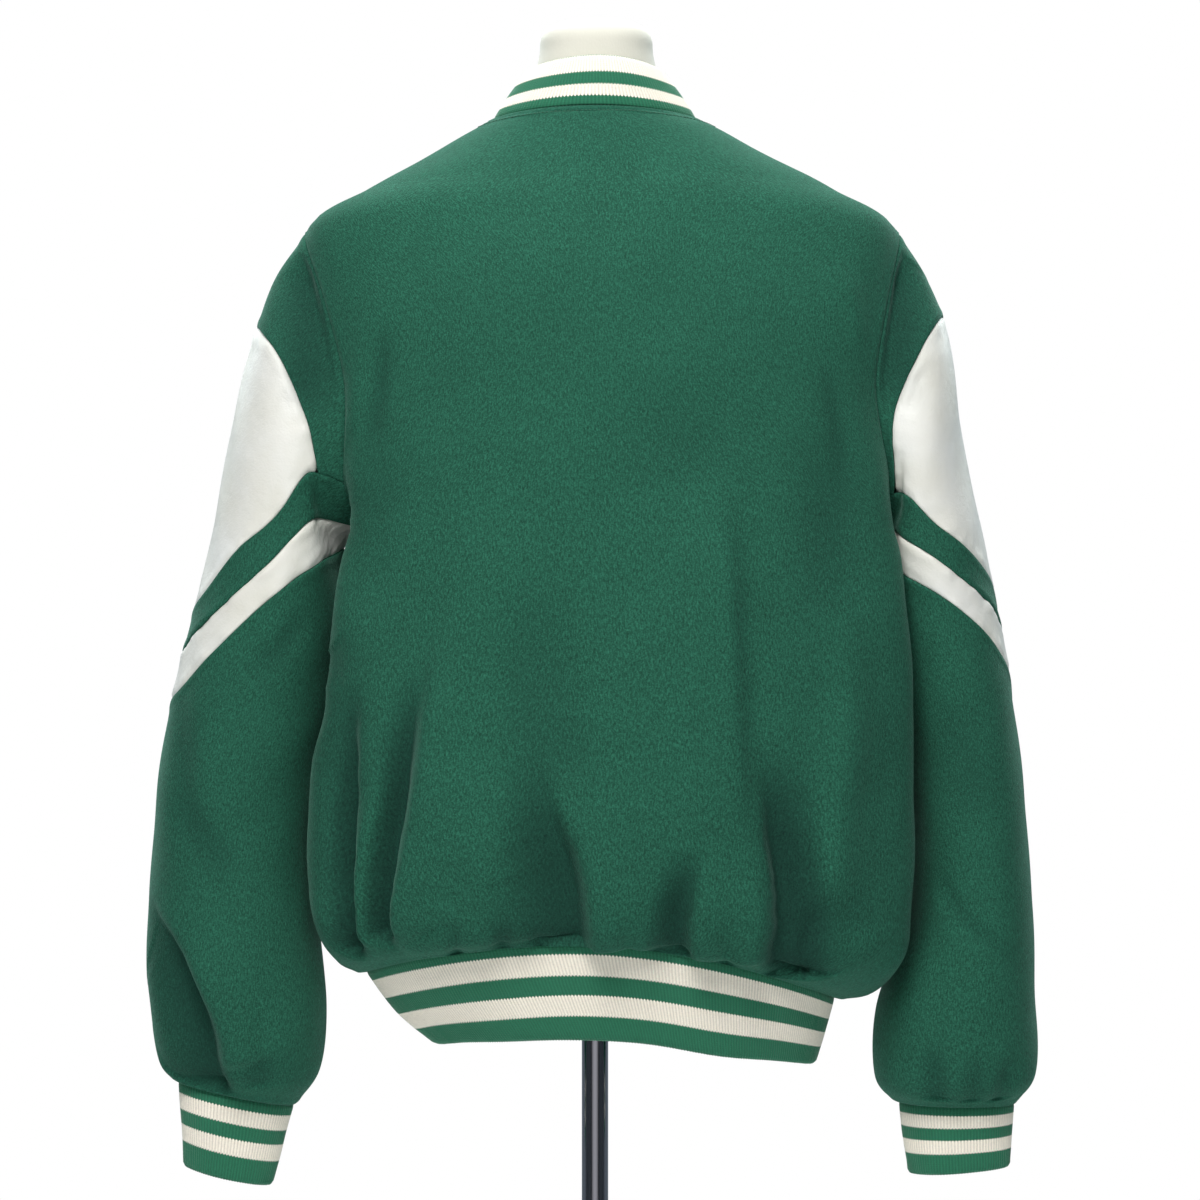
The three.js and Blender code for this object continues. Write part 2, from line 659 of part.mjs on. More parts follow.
// The dress form: shoulders that follow the cloth's inner face, a plain trunk and a neck
function formGeometry() {
  const columns = 4 * QUARTER_COLUMNS;
  const turns = Array.from({ length: columns }, (_, c) => c * RING_STEP);
  const oval = (row) => {
    const full = { ...row, square: FORM_SQUARE, pinch: 0, tilt: 0 };
    return turns.map((turn) => ringPoint(full, turn));
  };
  const underCloth = ({ level, clear }) => turns.map((turn) => (
    bodyPoint(turn, level).addScaledVector(bodyWay(turn, level), -(WOOL + clear))
  ));
  const floorDrop = NECK_HEIGHT - FORM_FLOOR;
  const rings = [oval({ ...FORM_TRUNK[0], back: floorDrop, side: floorDrop, front: floorDrop })];
  for (const row of FORM_TRUNK) rings.push(oval(row));
  rings.push(...FORM_SHOULDERS.map(underCloth));
  for (const row of FORM_NECK) rings.push(oval(row));
  const faces = [];
  for (let r = 0; r < rings.length - 1; r += 1) {
    for (let c = 0; c < columns; c += 1) {
      const n = (c + 1) % columns;
      faces.push([rings[r][c], rings[r][n], rings[r + 1][n]]);
      faces.push([rings[r][c], rings[r + 1][n], rings[r + 1][c]]);
    }
  }
  for (const [ring, flip] of [[rings[0], true], [rings[rings.length - 1], false]]) {
    const middle = ring.reduce((sum, point) => sum.add(point), new THREE.Vector3());
    middle.divideScalar(columns);
    for (let c = 0; c < columns; c += 1) {
      const pair = [ring[c], ring[(c + 1) % columns]];
      faces.push(flip ? [middle, pair[1], pair[0]] : [middle, pair[0], pair[1]]);
    }
  }
  return solid(faces);
}

// A turned piece whose profile is given as radius and height, standing along Z
function turned(profile, segments) {
  const outline = profile.map(([radius, high]) => new THREE.Vector2(radius, high));
  return new THREE.LatheGeometry(outline, segments).rotateX(Math.PI / 2);
}

// Outline of half a snap's cap, as shares of its radius and height
const SNAP_OUTLINE = [[0, 0], [1, 0], [1, 0.4], [0.6, 0.9], [0, 1]];

function snapGeometry() {
  const profile = SNAP_OUTLINE.map(([out, up]) => [out * SNAP_RADIUS, up * SNAP_HIGH]);
  return turned(profile, SNAP_SEGMENTS);
}

// Places a snap on the cloth in front of a point on the centre line, clear by the seam gap
function seatSnap(mesh, cloth, x, z) {
  const facing = new THREE.Vector3(0, 1, 0);
  const caster = new THREE.Raycaster();
  const reach = 400;
  const hit = (dx, dz) => {
    caster.set(new THREE.Vector3(x + dx, -reach, z + dz), facing);
    return caster.intersectObject(cloth)[0].point;
  };
  const above = hit(0, SNAP_RADIUS);
  const below = hit(0, -SNAP_RADIUS);
  const left = hit(SNAP_RADIUS, 0);
  const right = hit(-SNAP_RADIUS, 0);
  const out = left.clone().sub(right).cross(above.clone().sub(below)).normalize();
  if (out.y > 0) out.negate();
  const centre = hit(0, 0);
  const highest = Math.max(...[above, below, left, right].map((p) => p.sub(centre).dot(out)), 0);
  mesh.position.copy(centre).addScaledVector(out, highest + SEAM_GAP);
  mesh.quaternion.setFromUnitVectors(new THREE.Vector3(0, 0, 1), out);
}

const group = new THREE.Group();

function add(name, geometry, finish) {
  const mesh = new THREE.Mesh(geometry, new THREE.MeshStandardMaterial(FINISHES[finish]));
  mesh.name = name;
  group.add(mesh);
  return mesh;
}

// Body
add('back', wall(backPanel(), WOOL, false), 'wool');
const frontLeft = add('front_left', wall(frontPanel(LEFT), WOOL, false), 'wool');
add('front_right', wall(frontPanel(RIGHT), WOOL, false), 'wool');
add('collar', wall(collarPanel(), RIB, false), 'rib');
const hemRib = add('hem_rib', wall(hemPanel(), RIB, false), 'rib');

// Sleeves
for (const [side, name] of [[LEFT, 'left'], [RIGHT, 'right']]) {
  const edge = (insert) => (turn) => insertEdge(side, insert, turn);
  const armhole = () => 0;
  const cuffSeam = () => SLEEVES[side].length - 1;
  const capTurns = turnsWithin(CAP_TIP[side]);
  const leatherTurns = turnsWithin(LEATHER_TIP[side]);
  const around = turnsAround();
  const cap = sleevePanel(side, capTurns, armhole, edge('cap'), 4, false);
  const leather = sleevePanel(side, leatherTurns, edge('cap'), edge('leather'), 4, false);
  const band = sleevePanel(side, around, edge('leather'), edge('band'), 2, false);
  const stripe = sleevePanel(side, around, edge('band'), edge('stripe'), 1, false);
  const lower = sleevePanel(side, around, edge('stripe'), cuffSeam, 9, true);
  add(`sleeve_cap_${name}`, wall(cap, WOOL, false), 'wool');
  add(`sleeve_leather_${name}`, wall(leather, HIDE, false), 'hide');
  add(`sleeve_band_${name}`, wall(band, WOOL, true), 'wool');
  add(`sleeve_stripe_${name}`, wall(stripe, HIDE, true), 'hide');
  add(`sleeve_lower_${name}`, wall(lower, WOOL, true), 'wool');
  add(`cuff_${name}`, wall(cuffPanel(side), RIB, true), 'rib');
}

// Snaps down the centre front, the last on the hem rib
for (let i = 0; i < SNAP_COUNT; i += 1) {
  const snap = add(`snap_${i + 1}`, snapGeometry(), 'nickel');
  seatSnap(snap, frontLeft, 0, SNAP_TOP - i * SNAP_PITCH);
}
seatSnap(add(`snap_${SNAP_COUNT + 1}`, snapGeometry(), 'nickel'), hemRib, 0, RIB_SNAP);

// Dress form, pole and base
add('form', formGeometry(), 'linen');
const poleFoot = BASE_THICK + SEAM_GAP;
const poleTop = FORM_FLOOR - SEAM_GAP;
const poleProfile = [[0, poleFoot], [POLE_RADIUS, poleFoot], [POLE_RADIUS, poleTop], [0, poleTop]];
add('pole', turned(poleProfile, POLE_SEGMENTS), 'chrome');
const baseProfile = [[0, 0], [BASE_RADIUS, 0], [BASE_RADIUS, BASE_THICK - BASE_ROUNDING]];
baseProfile.push([BASE_RADIUS - BASE_ROUNDING, BASE_THICK], [0, BASE_THICK]);
add('base', turned(baseProfile, BASE_SEGMENTS), 'chrome');

export default group;
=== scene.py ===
"""The looks of a wool varsity jacket on a limbless dress form: cloth, ribs, leather, snaps and stand."""

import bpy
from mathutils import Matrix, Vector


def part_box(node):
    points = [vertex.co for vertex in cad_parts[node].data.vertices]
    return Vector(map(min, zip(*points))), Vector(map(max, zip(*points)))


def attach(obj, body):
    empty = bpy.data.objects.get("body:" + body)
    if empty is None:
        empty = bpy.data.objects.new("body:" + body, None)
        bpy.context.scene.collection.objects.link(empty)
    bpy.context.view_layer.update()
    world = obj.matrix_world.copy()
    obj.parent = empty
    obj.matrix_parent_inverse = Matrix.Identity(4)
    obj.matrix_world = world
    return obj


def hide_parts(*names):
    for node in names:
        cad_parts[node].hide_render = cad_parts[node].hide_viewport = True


bl_info = {
    "name": "Varsity jacket on a dress form",
    "version": (1, 0, 0),
    "blender": (4, 5, 0),
    "location": "3D View > Sidebar > Jacket",
    "description": "Makes the finished pieces of the jacket, its dress form and its stand",
    "category": "Object",
}

import math

import bmesh
import bpy
import numpy as np
from mathutils import Vector

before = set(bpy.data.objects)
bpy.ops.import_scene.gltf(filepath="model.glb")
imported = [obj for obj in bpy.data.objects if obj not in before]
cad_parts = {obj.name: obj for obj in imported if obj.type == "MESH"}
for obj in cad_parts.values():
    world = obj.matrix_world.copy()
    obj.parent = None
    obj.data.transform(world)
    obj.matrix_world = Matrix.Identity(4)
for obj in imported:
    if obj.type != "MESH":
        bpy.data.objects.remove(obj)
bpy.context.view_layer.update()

MM = 0.001
LEFT, RIGHT = 1, -1
SIDE_NAMES = {LEFT: "left", RIGHT: "right"}
SNAP_NODES = [f"snap_{number}" for number in range(1, 8)]
DEGREE = math.pi / 180
FRONT = -90 * DEGREE


def table(columns, rows):
    """Named columns of a short table, each as an array down the rows."""
    return {name: np.array([row[i] for row in rows], float) for i, name in enumerate(columns.split())}


# Sizes of the garment in the frame of the part: lengths in millimetres, turns in radians
NECK_HEIGHT = 1470
SEAM_GAP = 0.3
LAP = 30
LAP_EASE = 28
FORM_FLOOR = 862
BACK_WIDTH, FRONT_WIDTH, ARMHOLE_LENGTH = 560, 290, 210
SLEEVE_ROUND, CAP_ROUND, LEATHER_ROUND = 490, 380, 340
HEM_ROUND, COLLAR_ROUND, CUFF_ROUND = 930, 390, 237
COLLAR_GAP = 3
SLEEVE_MIDDLE = -10
SNAP_RADIUS, SNAP_HEIGHT, SNAP_ROLL = 7.5, 2.6, 0.9
# Levels, counted in the rings of the tables below
HEM_SEAM, UNDERARM, SHOULDER_TIP, NECK_SEAM, CUFF_SEAM, RIB_EDGE = 0, 7, 10, 14, 11, 2
HEM_BLEND, ARMHOLE_BLEND = 1.5, 2.5
BELOW_ARMHOLE, ABOVE_ARMHOLE = 6.75, 10.2
FACES_DOWN, FACES_UP = 2, 3
# Half turn of an armhole, how far its oval is an egg, and width of the pinch under an arm
ARMHOLE_TURN = 31 * DEGREE
ARMHOLE_EGG = 0.8
PINCH_WIDTH = 0.42

# Rings of the body from the hem seam to the neck seam: drop below the back neck at the back, side
# and front, half width, shift in X, depths behind and ahead, fullness, pinch under the arm, tilt.
RING = "back side front half shift behind ahead square pinch tilt"
BODY = table(RING, [
    [588, 626, 618, 168, -4, 132, 128, 2.3, 0.0, 0.055],
    [585, 620, 612, 190, -7, 150, 142, 2.4, 0.0, 0.055],
    [570, 600, 597, 205, -10, 162, 152, 2.4, 0.01, 0.045],
    [540, 560, 560, 213, -10, 168, 157, 2.4, 0.03, 0.03],
    [485, 495, 495, 216, -10, 166, 158, 2.4, 0.05, 0.015],
    [400, 405, 410, 215, -14, 158, 155, 2.4, 0.09, 0.0],
    [320, 325, 330, 209, -16, 150, 150, 2.4, 0.14, 0.0],
    [245, 295, 262, 206, -15, 141, 145, 2.4, 0.17, 0.0],
    [178, 215, 200, 213, -11, 130, 138, 2.4, 0.12, 0.0],
    [122, 145, 150, 219, -8, 117, 126, 2.4, 0.05, 0.0],
    [72, 86, 110, 213, -5, 97, 108, 2.3, 0.0, 0.0],
    [44, 57, 92, 170, -5, 82, 90, 2.2, 0.0, 0.0],
    [24, 35, 82, 129, -4, 71, 79, 2.1, 0.0, 0.0],
    [8, 15, 76, 94, -2, 63, 71, 2.0, 0.0, 0.0],
    [0, 5, 74, 73, 0, 58, 66, 2.0, 0.0, 0.0],
])
HEM_RIB = table(RING, [
    [588, 626, 618, 168, -4, 132, 128, 2.3, 0, 0.055],
    [620, 652, 646, 154, -11, 123, 120, 2.3, 0, 0.045],
    [655, 674, 669, 137, -21, 112, 110, 2.3, 0, 0.045],
])
COLLAR = table(RING, [
    [-0.6, 4.4, 73.4, 73, 0, 58, 66, 2.0, 0, 0],
    [-17, -14, 57, 61, 0, 54, 59, 2.0, 0, 0],
    [-37, -30, 37, 49, 0, 47, 51, 2.0, 0, 0],
])
# The largest folds: turn and width in degrees, levels between which each runs, height
FOLDS = [
    (130, 15, 0, 4.2, 5), (150, 13, 0, 4.6, -5), (60, 14, 0, 3.6, 5), (42, 13, 0, 5.2, -5),
    (28, 12, 0, 4.2, 5), (94, 11, 0, 3.2, -5), (214, 14, 0, 3.8, 5), (238, 13, 0, 4.4, -5),
    (306, 14, 0, 3.6, 4), (328, 13, 0, 4.6, -5),
]
# Fullness of the sides of the back beside the sleeves: turn and width in degrees, levels at which
# it starts and ends, height
SWELLS = [(27, 30, 0.7, 8.2, 12), (153, 32, 0.7, 8.2, 15)]
SWELL_STARTS, SWELL_ENDS = 1.8, 1.4
# Rings of the sleeves and cuffs: X and Z of the outer and inner line, centre in Y, half depth
SLEEVE_RING = "outX outZ inX inZ mid deep square"
SLEEVES = {
    LEFT: table(SLEEVE_RING, [
        [208, 1384, 156, 1175, 0, 75, 2.1],
        [230, 1352, 178, 1163, -3, 79, 2.1],
        [244, 1313, 184, 1140, -6, 80, 2.1],
        [261, 1250, 182, 1108, -8, 79, 2.1],
        [275, 1175, 184, 1070, -10, 78, 2.1],
        [293, 1100, 190, 1030, -12, 78, 2.1],
        [308, 1035, 199, 990, -13, 78, 2.1],
        [318, 965, 203, 940, -14, 77, 2.2],
        [322, 895, 199, 885, -14, 76, 2.2],
        [323, 840, 195, 825, -14, 73, 2.2],
        [315, 788, 199, 780, -14, 62, 2.2],
        [301, 773, 218, 755, -14, 34, 2.1],
    ]),
    RIGHT: table(SLEEVE_RING, [
        [216, 1384, 186, 1175, 0, 75, 2.1],
        [237, 1352, 200, 1163, -3, 79, 2.1],
        [253, 1313, 205, 1140, -6, 80, 2.1],
        [263, 1250, 208, 1108, -8, 79, 2.1],
        [277, 1175, 214, 1070, -10, 78, 2.1],
        [293, 1100, 221, 1030, -12, 78, 2.1],
        [304, 1035, 226, 990, -13, 78, 2.1],
        [311, 965, 228, 940, -14, 77, 2.2],
        [316, 895, 224, 885, -14, 76, 2.2],
        [318, 835, 204, 825, -14, 73, 2.2],
        [319, 778, 203, 775, -14, 62, 2.2],
        [303, 756, 220, 757, -14, 34, 2.1],
    ]),
}
CUFFS = {
    LEFT: table(SLEEVE_RING, [
        [301, 773, 218, 755, -14, 34, 2.1],
        [299, 740, 226, 727, -14, 33, 2.1],
        [298, 712, 234, 698, -14, 30, 2.1],
    ]),
    RIGHT: table(SLEEVE_RING, [
        [303, 756, 220, 757, -14, 34, 2.1],
        [301, 735, 223, 732, -14, 33, 2.1],
        [300, 712, 226, 706, -14, 30, 2.1],
    ]),
}
# Lower edges of the sleeve's inserts as levels, a row every 30 degrees from the outer line
INSERTS = {
    LEFT: table("cap leather band stripe", [
        [1.95, 4.85, 5.3, 5.85],
        [1.82, 4.6, 5.0, 5.6],
        [1.52, 3.88, 4.42, 4.95],
        [1.2, 2.92, 3.52, 4.05],
        [0.9, 0.95, 2.2, 3.05],
        [0.5, -1.0, 0.8, 2.0],
        [0.3, -2.0, 0.4, 1.3],
    ]),
    RIGHT: table("cap leather band stripe", [
        [1.8, 4.75, 5.05, 5.7],
        [1.62, 4.4, 4.75, 5.27],
        [1.3, 3.85, 4.27, 4.7],
        [0.83, 3.03, 3.55, 4.02],
        [0.5, 1.6, 2.55, 3.2],
        [0.4, -0.6, 1.2, 2.2],
        [0.3, -2.0, 0.5, 1.4],
    ]),
}
INSERT_STEP = 30 * DEGREE
LEATHER_TIP = {LEFT: 120 * DEGREE, RIGHT: 135 * DEGREE}
CAP_TIP = {LEFT: 135 * DEGREE, RIGHT: 150 * DEGREE}
# The form: rings of its trunk, the levels and clearance of its shoulders, rings of its neck
FORM_RING = "back side front half shift behind ahead"
FORM_TRUNK = table(FORM_RING, [
    [580, 580, 580, 148, -10, 102, 104],
    [530, 530, 530, 151, -10, 100, 102],
    [470, 470, 470, 146, -10, 92, 98],
    [410, 410, 410, 141, -11, 86, 98],
    [350, 350, 350, 144, -12, 92, 108],
    [275, 275, 275, 148, -14, 98, 114],
    [200, 200, 200, 158, -10, 94, 108],
    [150, 150, 150, 172, -7, 88, 98],
    [118, 118, 118, 184, -5, 86, 92],
])
FORM_SHOULDERS = [(10.2, 9.0), (10.7, 4.5), (11.2, 1.4), (12.0, 1.4), (13.0, 1.4), (13.8, 2.6)]
FORM_NECK = table(FORM_RING, [
    [-2, 2, 72, 62, 0, 50, 54],
    [-12, -10, 52, 52, -1, 46, 47],
    [-26, -26, 20, 45, -1, 43, 41],
    [-42, -42, -26, 41, -1, 40, 38],
    [-53, -53, -53, 40, -1, 39, 37],
    [-61, -61, -61, 35, -1, 34, 32],
    [-66, -66, -66, 23, -1, 23, 21],
])

# Creases, as seen from behind (True) or in front: half width on the right and on the left of a
# path that runs down, height (a trough is negative), share of the path over which it fades in at
# the top and out at the bottom, and the path itself as X and Z.
BODY_CREASES = [
    # centre tuck and its shadow side
    (True, 9, 36, -19.0, 0.6, 0.02, [(50, 1020), (30, 968), (17, 927), (11, 874)]),
    (True, 34, 6, 9.0, 0.6, 0.02, [(34, 1015), (14, 965), (3, 927), (-3, 876)]),
    (True, 3.5, 3.5, 3.0, 0.3, 0.3, [(1, 893), (3, 886), (9, 881)]),
    # right gathers
    (True, 6, 18, -15.0, 0.6, 0.02, [(-76, 955), (-60, 911), (-59, 869)]),
    (True, 22, 6, 5.0, 0.5, 0.05, [(-86, 955), (-73, 908), (-72, 872)]),
    (True, 26, 9, -20.0, 0.6, 0.02, [(-114, 1030), (-129, 946), (-134, 906), (-126, 859)]),
    (True, 6, 18, 6.0, 0.5, 0.05, [(-100, 960), (-112, 906), (-108, 868)]),
    (True, 5, 6, -6.0, 0.6, 0.02, [(63, 910), (63, 878)]),
    (True, 5, 6, -5.0, 0.6, 0.02, [(97, 906), (94, 876)]),
    (True, 6, 6, -5.0, 0.6, 0.02, [(-22, 908), (-24, 876)]),
    (True, 5, 5, -4.0, 0.6, 0.02, [(38, 898), (37, 878)]),
    (True, 5, 5, -4.0, 0.6, 0.02, [(-40, 896), (-41, 874)]),
    (True, 6, 6, -6.0, 0.6, 0.02, [(-92, 905), (-90, 868)]),
    (True, 9, 9, -9.0, 0.6, 0.02, [(-162, 925), (-150, 858)]),
    # left pouch: ridges and the valleys between
    (True, 30, 9, 8.0, 0.5, 0.12,
     [(90, 1170), (108, 1056), (114, 998), (129, 927), (136, 903), (132, 884), (118, 877)]),
    (True, 9, 12, -18.0, 0.5, 0.08, [(122, 1080), (138, 985), (149, 925), (149, 878)]),
    (True, 10, 9, 6.0, 0.5, 0.10, [(140, 1024), (158, 958), (165, 914), (164, 877)]),
    (True, 8, 12, -18.0, 0.5, 0.08, [(168, 1070), (177, 985), (177, 925), (171, 868)]),
    # the long ridge on the right, steep on its own right, and what follows it
    (True, 12, 48, 13.0, 0.4, 0.3, [(-82, 1230), (-90, 1071), (-94, 993), (-100, 925)]),
    (True, 26, 16, 9.0, 0.4, 0.2, [(-180, 1130), (-176, 1040), (-168, 960), (-160, 890)]),
    # broad folds across the back
    (True, 40, 34, -8.0, 0.45, 0.4, [(66, 1150), (44, 1070), (26, 1010), (10, 950)]),
    (True, 30, 34, 5.0, 0.4, 0.4, [(-30, 1150), (-24, 1060), (-30, 960)]),
    (True, 44, 44, -5.0, 0.5, 0.5, [(-66, 1300), (-56, 1220), (-45, 1150)]),
    (True, 40, 40, 9.0, 0.5, 0.4, [(78, 1020), (82, 960), (84, 905)]),
    (True, 30, 22, -6.0, 0.5, 0.5, [(150, 1270), (160, 1180), (168, 1100)]),
    (True, 22, 26, -5.0, 0.5, 0.5, [(-160, 1260), (-168, 1180), (-150, 1090)]),
    # sides of the back, drawn in beside the pouch and under the arms
    (True, 26, 34, -6.0, 0.35, 0.1, [(196, 1180), (188, 1080), (182, 980), (176, 890)]),
    (True, 30, 26, -6.0, 0.35, 0.1, [(-196, 1120), (-196, 1030), (-186, 950), (-178, 880)]),
    # drag lines beside the armholes
    (True, 7, 12, 2.6, 0.4, 0.4, [(158, 1335), (164, 1285), (170, 1235)]),
    (True, 9, 7, -2.6, 0.4, 0.4, [(147, 1320), (152, 1270), (160, 1215)]),
    (True, 12, 8, 2.4, 0.4, 0.4, [(-166, 1360), (-178, 1330), (-186, 1285)]),
    (True, 9, 9, -2.2, 0.4, 0.4, [(-158, 1300), (-170, 1240), (-180, 1180)]),
    # gathers of the fronts above the hem rib, and the folds they start
    (False, 14, 4, 4.0, 0.6, 0.02, [(-60, 985), (-72, 935), (-76, 872)]),
    (False, 4, 13, -4.4, 0.6, 0.02, [(-68, 975), (-80, 930), (-84, 868)]),
    (False, 5, 5, -4.0, 0.6, 0.02, [(-36, 915), (-40, 868)]),
    (False, 10, 7, -4.2, 0.6, 0.02, [(-120, 960), (-130, 915), (-126, 860)]),
    (False, 13, 8, 3.6, 0.5, 0.05, [(-104, 965), (-112, 915), (-108, 868)]),
    (False, 5, 14, 4.2, 0.6, 0.02, [(70, 1000), (64, 940), (60, 868)]),
    (False, 13, 4, -4.6, 0.6, 0.02, [(80, 990), (73, 938), (69, 868)]),
    (False, 5, 5, -3.2, 0.6, 0.02, [(36, 905), (33, 868)]),
    (False, 8, 8, -4.4, 0.6, 0.02, [(118, 950), (112, 910), (110, 862)]),
    (False, 12, 12, 3.8, 0.5, 0.05, [(142, 990), (136, 930), (130, 868)]),
    (False, 7, 7, -3.6, 0.6, 0.02, [(156, 940), (148, 868)]),
    (False, 26, 26, 3.2, 0.4, 0.4, [(-95, 1210), (-100, 1120), (-92, 1020)]),
    (False, 22, 22, -3.4, 0.4, 0.4, [(-130, 1180), (-138, 1090), (-130, 1000)]),
    (False, 26, 26, 3.0, 0.4, 0.4, [(92, 1230), (98, 1120), (88, 1020)]),
    (False, 20, 20, -3.4, 0.4, 0.4, [(128, 1200), (134, 1100), (122, 1010)]),
    (False, 7, 11, 2.6, 0.4, 0.4, [(158, 1330), (162, 1285), (166, 1240)]),
    (False, 11, 7, 2.6, 0.4, 0.4, [(-160, 1335), (-166, 1285), (-172, 1240)]),
]
SLEEVE_CREASES = {
    LEFT: [
        # the long crease that parts the two lobes over the cuff
        (True, 9, 34, -18.0, 0.5, 0.04,
         [(322, 905), (299, 860), (283, 829), (275, 809), (273, 789), (269, 766)]),
        (True, 28, 10, 8.0, 0.5, 0.1, [(290, 895), (275, 850), (262, 815), (256, 785)]),
        (True, 12, 12, -3.4, 0.5, 0.1, [(240, 850), (236, 810), (238, 772)]),
        # the head of the sleeve sinks beside the armhole
        (True, 20, 22, -9.0, 0.25, 0.3, [(208, 1376), (208, 1330), (204, 1285), (196, 1235)]),
        (True, 14, 18, 3.0, 0.4, 0.4, [(285, 1020), (262, 985), (240, 960)]),
        (True, 14, 14, -3.0, 0.4, 0.4, [(300, 985), (276, 950), (245, 925)]),
        (True, 16, 16, -2.6, 0.4, 0.4, [(300, 1060), (290, 1000), (288, 940)]),
        (True, 9, 9, -2.4, 0.4, 0.4, [(200, 1120), (222, 1085), (250, 1065)]),
        (False, 14, 6, -6.0, 0.45, 0.06, [(238, 890), (252, 850), (256, 812), (250, 776)]),
        (False, 6, 14, 4.0, 0.4, 0.1, [(228, 880), (240, 845), (243, 805)]),
        (False, 12, 12, -3.6, 0.5, 0.1, [(288, 840), (284, 805), (282, 775)]),
        (False, 13, 13, -3.4, 0.4, 0.4, [(210, 1060), (240, 1030), (285, 1015)]),
        (False, 13, 13, 3.0, 0.4, 0.4, [(208, 1030), (236, 1003), (280, 985)]),
        (False, 14, 14, -3.0, 0.4, 0.4, [(215, 985), (245, 955), (290, 945)]),
    ],
    RIGHT: [
        (True, 22, 20, -8.0, 0.25, 0.3, [(-215, 1376), (-220, 1330), (-218, 1285), (-210, 1240)]),
        (True, 6, 12, -3.2, 0.4, 0.5, [(-240, 935), (-262, 893), (-304, 868)]),
        (True, 12, 8, 2.6, 0.4, 0.5, [(-236, 922), (-258, 880), (-298, 855)]),
        (True, 20, 20, -2.8, 0.4, 0.4, [(-240, 1060), (-262, 1010), (-268, 950)]),
        (True, 9, 9, -4.2, 0.5, 0.06, [(-236, 812), (-240, 785), (-244, 764)]),
        (True, 8, 8, -3.2, 0.5, 0.06, [(-272, 805), (-270, 780), (-268, 762)]),
        (True, 8, 8, -3.6, 0.5, 0.06, [(-297, 800), (-292, 778), (-288, 762)]),
        (False, 14, 6, -5.0, 0.45, 0.06, [(-286, 880), (-276, 838), (-268, 800), (-264, 768)]),
        (False, 10, 10, -3.4, 0.5, 0.06, [(-236, 830), (-240, 795), (-242, 766)]),
        (False, 13, 13, -3.4, 0.4, 0.4, [(-232, 1062), (-258, 1030), (-290, 1018)]),
        (False, 13, 13, 3.0, 0.4, 0.4, [(-232, 1030), (-256, 1003), (-292, 985)]),
        (False, 14, 14, -3.0, 0.4, 0.4, [(-236, 985), (-262, 955), (-298, 940)]),
    ],
}

# How cloth ends at a seam or edge: depth and reach of its rounding, height of the swell beside
# it, and depth and place of a line of topstitching
EDGE_KINDS = {
    "seam": (1.3, 3.0, 0.5, 0.0, 0.0),
    "ribbed": (1.0, 2.2, 0.9, 0.0, 0.0),
    "proud": (0.7, 1.3, 0.7, 0.0, 0.0),
    "under": (1.5, 4.5, 0.3, 0.0, 0.0),
    "edge": (0.9, 1.8, 0.3, 0.6, 6.0),
    "neck": (1.2, 2.0, 0.8, 0.9, 5.4),
}
SWELL_AT, SWELL_WIDE, GROOVE_WIDE = 2.2, 4.0, 0.9
EDGE_STEPS = (0, 0.4, 0.9, 1.5, 2.2, 3.1, 4.2, 4.9, 5.4, 6.0, 6.7, 8.0)  # rows beside an edge
LEAN_REACH = 14  # distance over which a wall turns to the mitre of its seam
THREAD = 0.0007  # thickness of the topstitching's thread, in metres
FAR = 1000  # distance that stands for no seam near by
SPARE_ROW = 20  # row of the body's panels that is left out where their count has to be odd
ARMHOLE_SHARE = 0.16  # share of a panel's width over which its rows bend to the armhole
HEM_FADE, NECK_FADE, ARMHOLE_FADE = 5, 25, 10  # distances over which creases and waves fade
WAVE_SEED, WAVES, SHORTEST_WAVE, LONGEST_WAVE = 11, 9, 45, 140  # the cloth's slow unevenness
PUCKER_REACH = 14  # distance over which leather is puckered beside a seam
RIB_DIP, RIB_DIP_REACH = 0.5, 1.6  # depth and reach of a rib's dip at its wool seam
RIB_ROUND, RIB_ROUND_REACH = 1.0, 1.8  # depth and reach of the rounding at a rib's free edge
BODY_WAVE, SLEEVE_WAVE = 0.9, 0.8  # height of the slow unevenness of the wool
HEM_WAVE, COLLAR_WAVE, CUFF_WAVE = 1.2, 0.7, 0.9  # and of the ribs
INSIDE_FLAT = 0.6  # depth of a dip down to which the inside of a wall doesn't follow it
STITCH_LIFT = 0.25  # height of the topstitches above the cloth
CREASE_REACH = 2.6  # how many of its half widths a crease reaches
CREASE_RUN = 1.15  # run over which a crease ends at a gathered seam, for each mm of its height
CREASE_DROP = 0.15  # share of a crease's downward lean that is kept where cloth faces down
PAINTED_SHADE_DEPTH = 6  # depth in mm at which a sharp trough's painted shade is mostly full
PAINTED_SHADE_WIDTH = 36  # width in mm up to which a trough gets its full painted shade
HEM_SAG = (-88, 48, 4.5)  # place in X, half width and drop of the sag in the hem rib's lower edge

# Rib knit: length of a loop, step of a stripe's edge between wales and height of each rib, all in
# metres, rows of points in each, and colour bands from the wool seam outwards, as shares of height
RIB_LOOP, STRIPE_STEP = 0.0016, 0.0022
HEM_HEIGHT, CUFF_HEIGHT, COLLAR_HEIGHT = 0.07, 0.06, 0.04
HEM_ROWS, CUFF_ROWS, COLLAR_ROWS = 17, 15, 15
HEM_BANDS = (0.10, 0.32, 0.52, 0.74)
CUFF_BANDS = (0.13, 0.32, 0.50, 0.70)
COLLAR_BANDS = (0.18, 0.41, 0.66, 1.01)


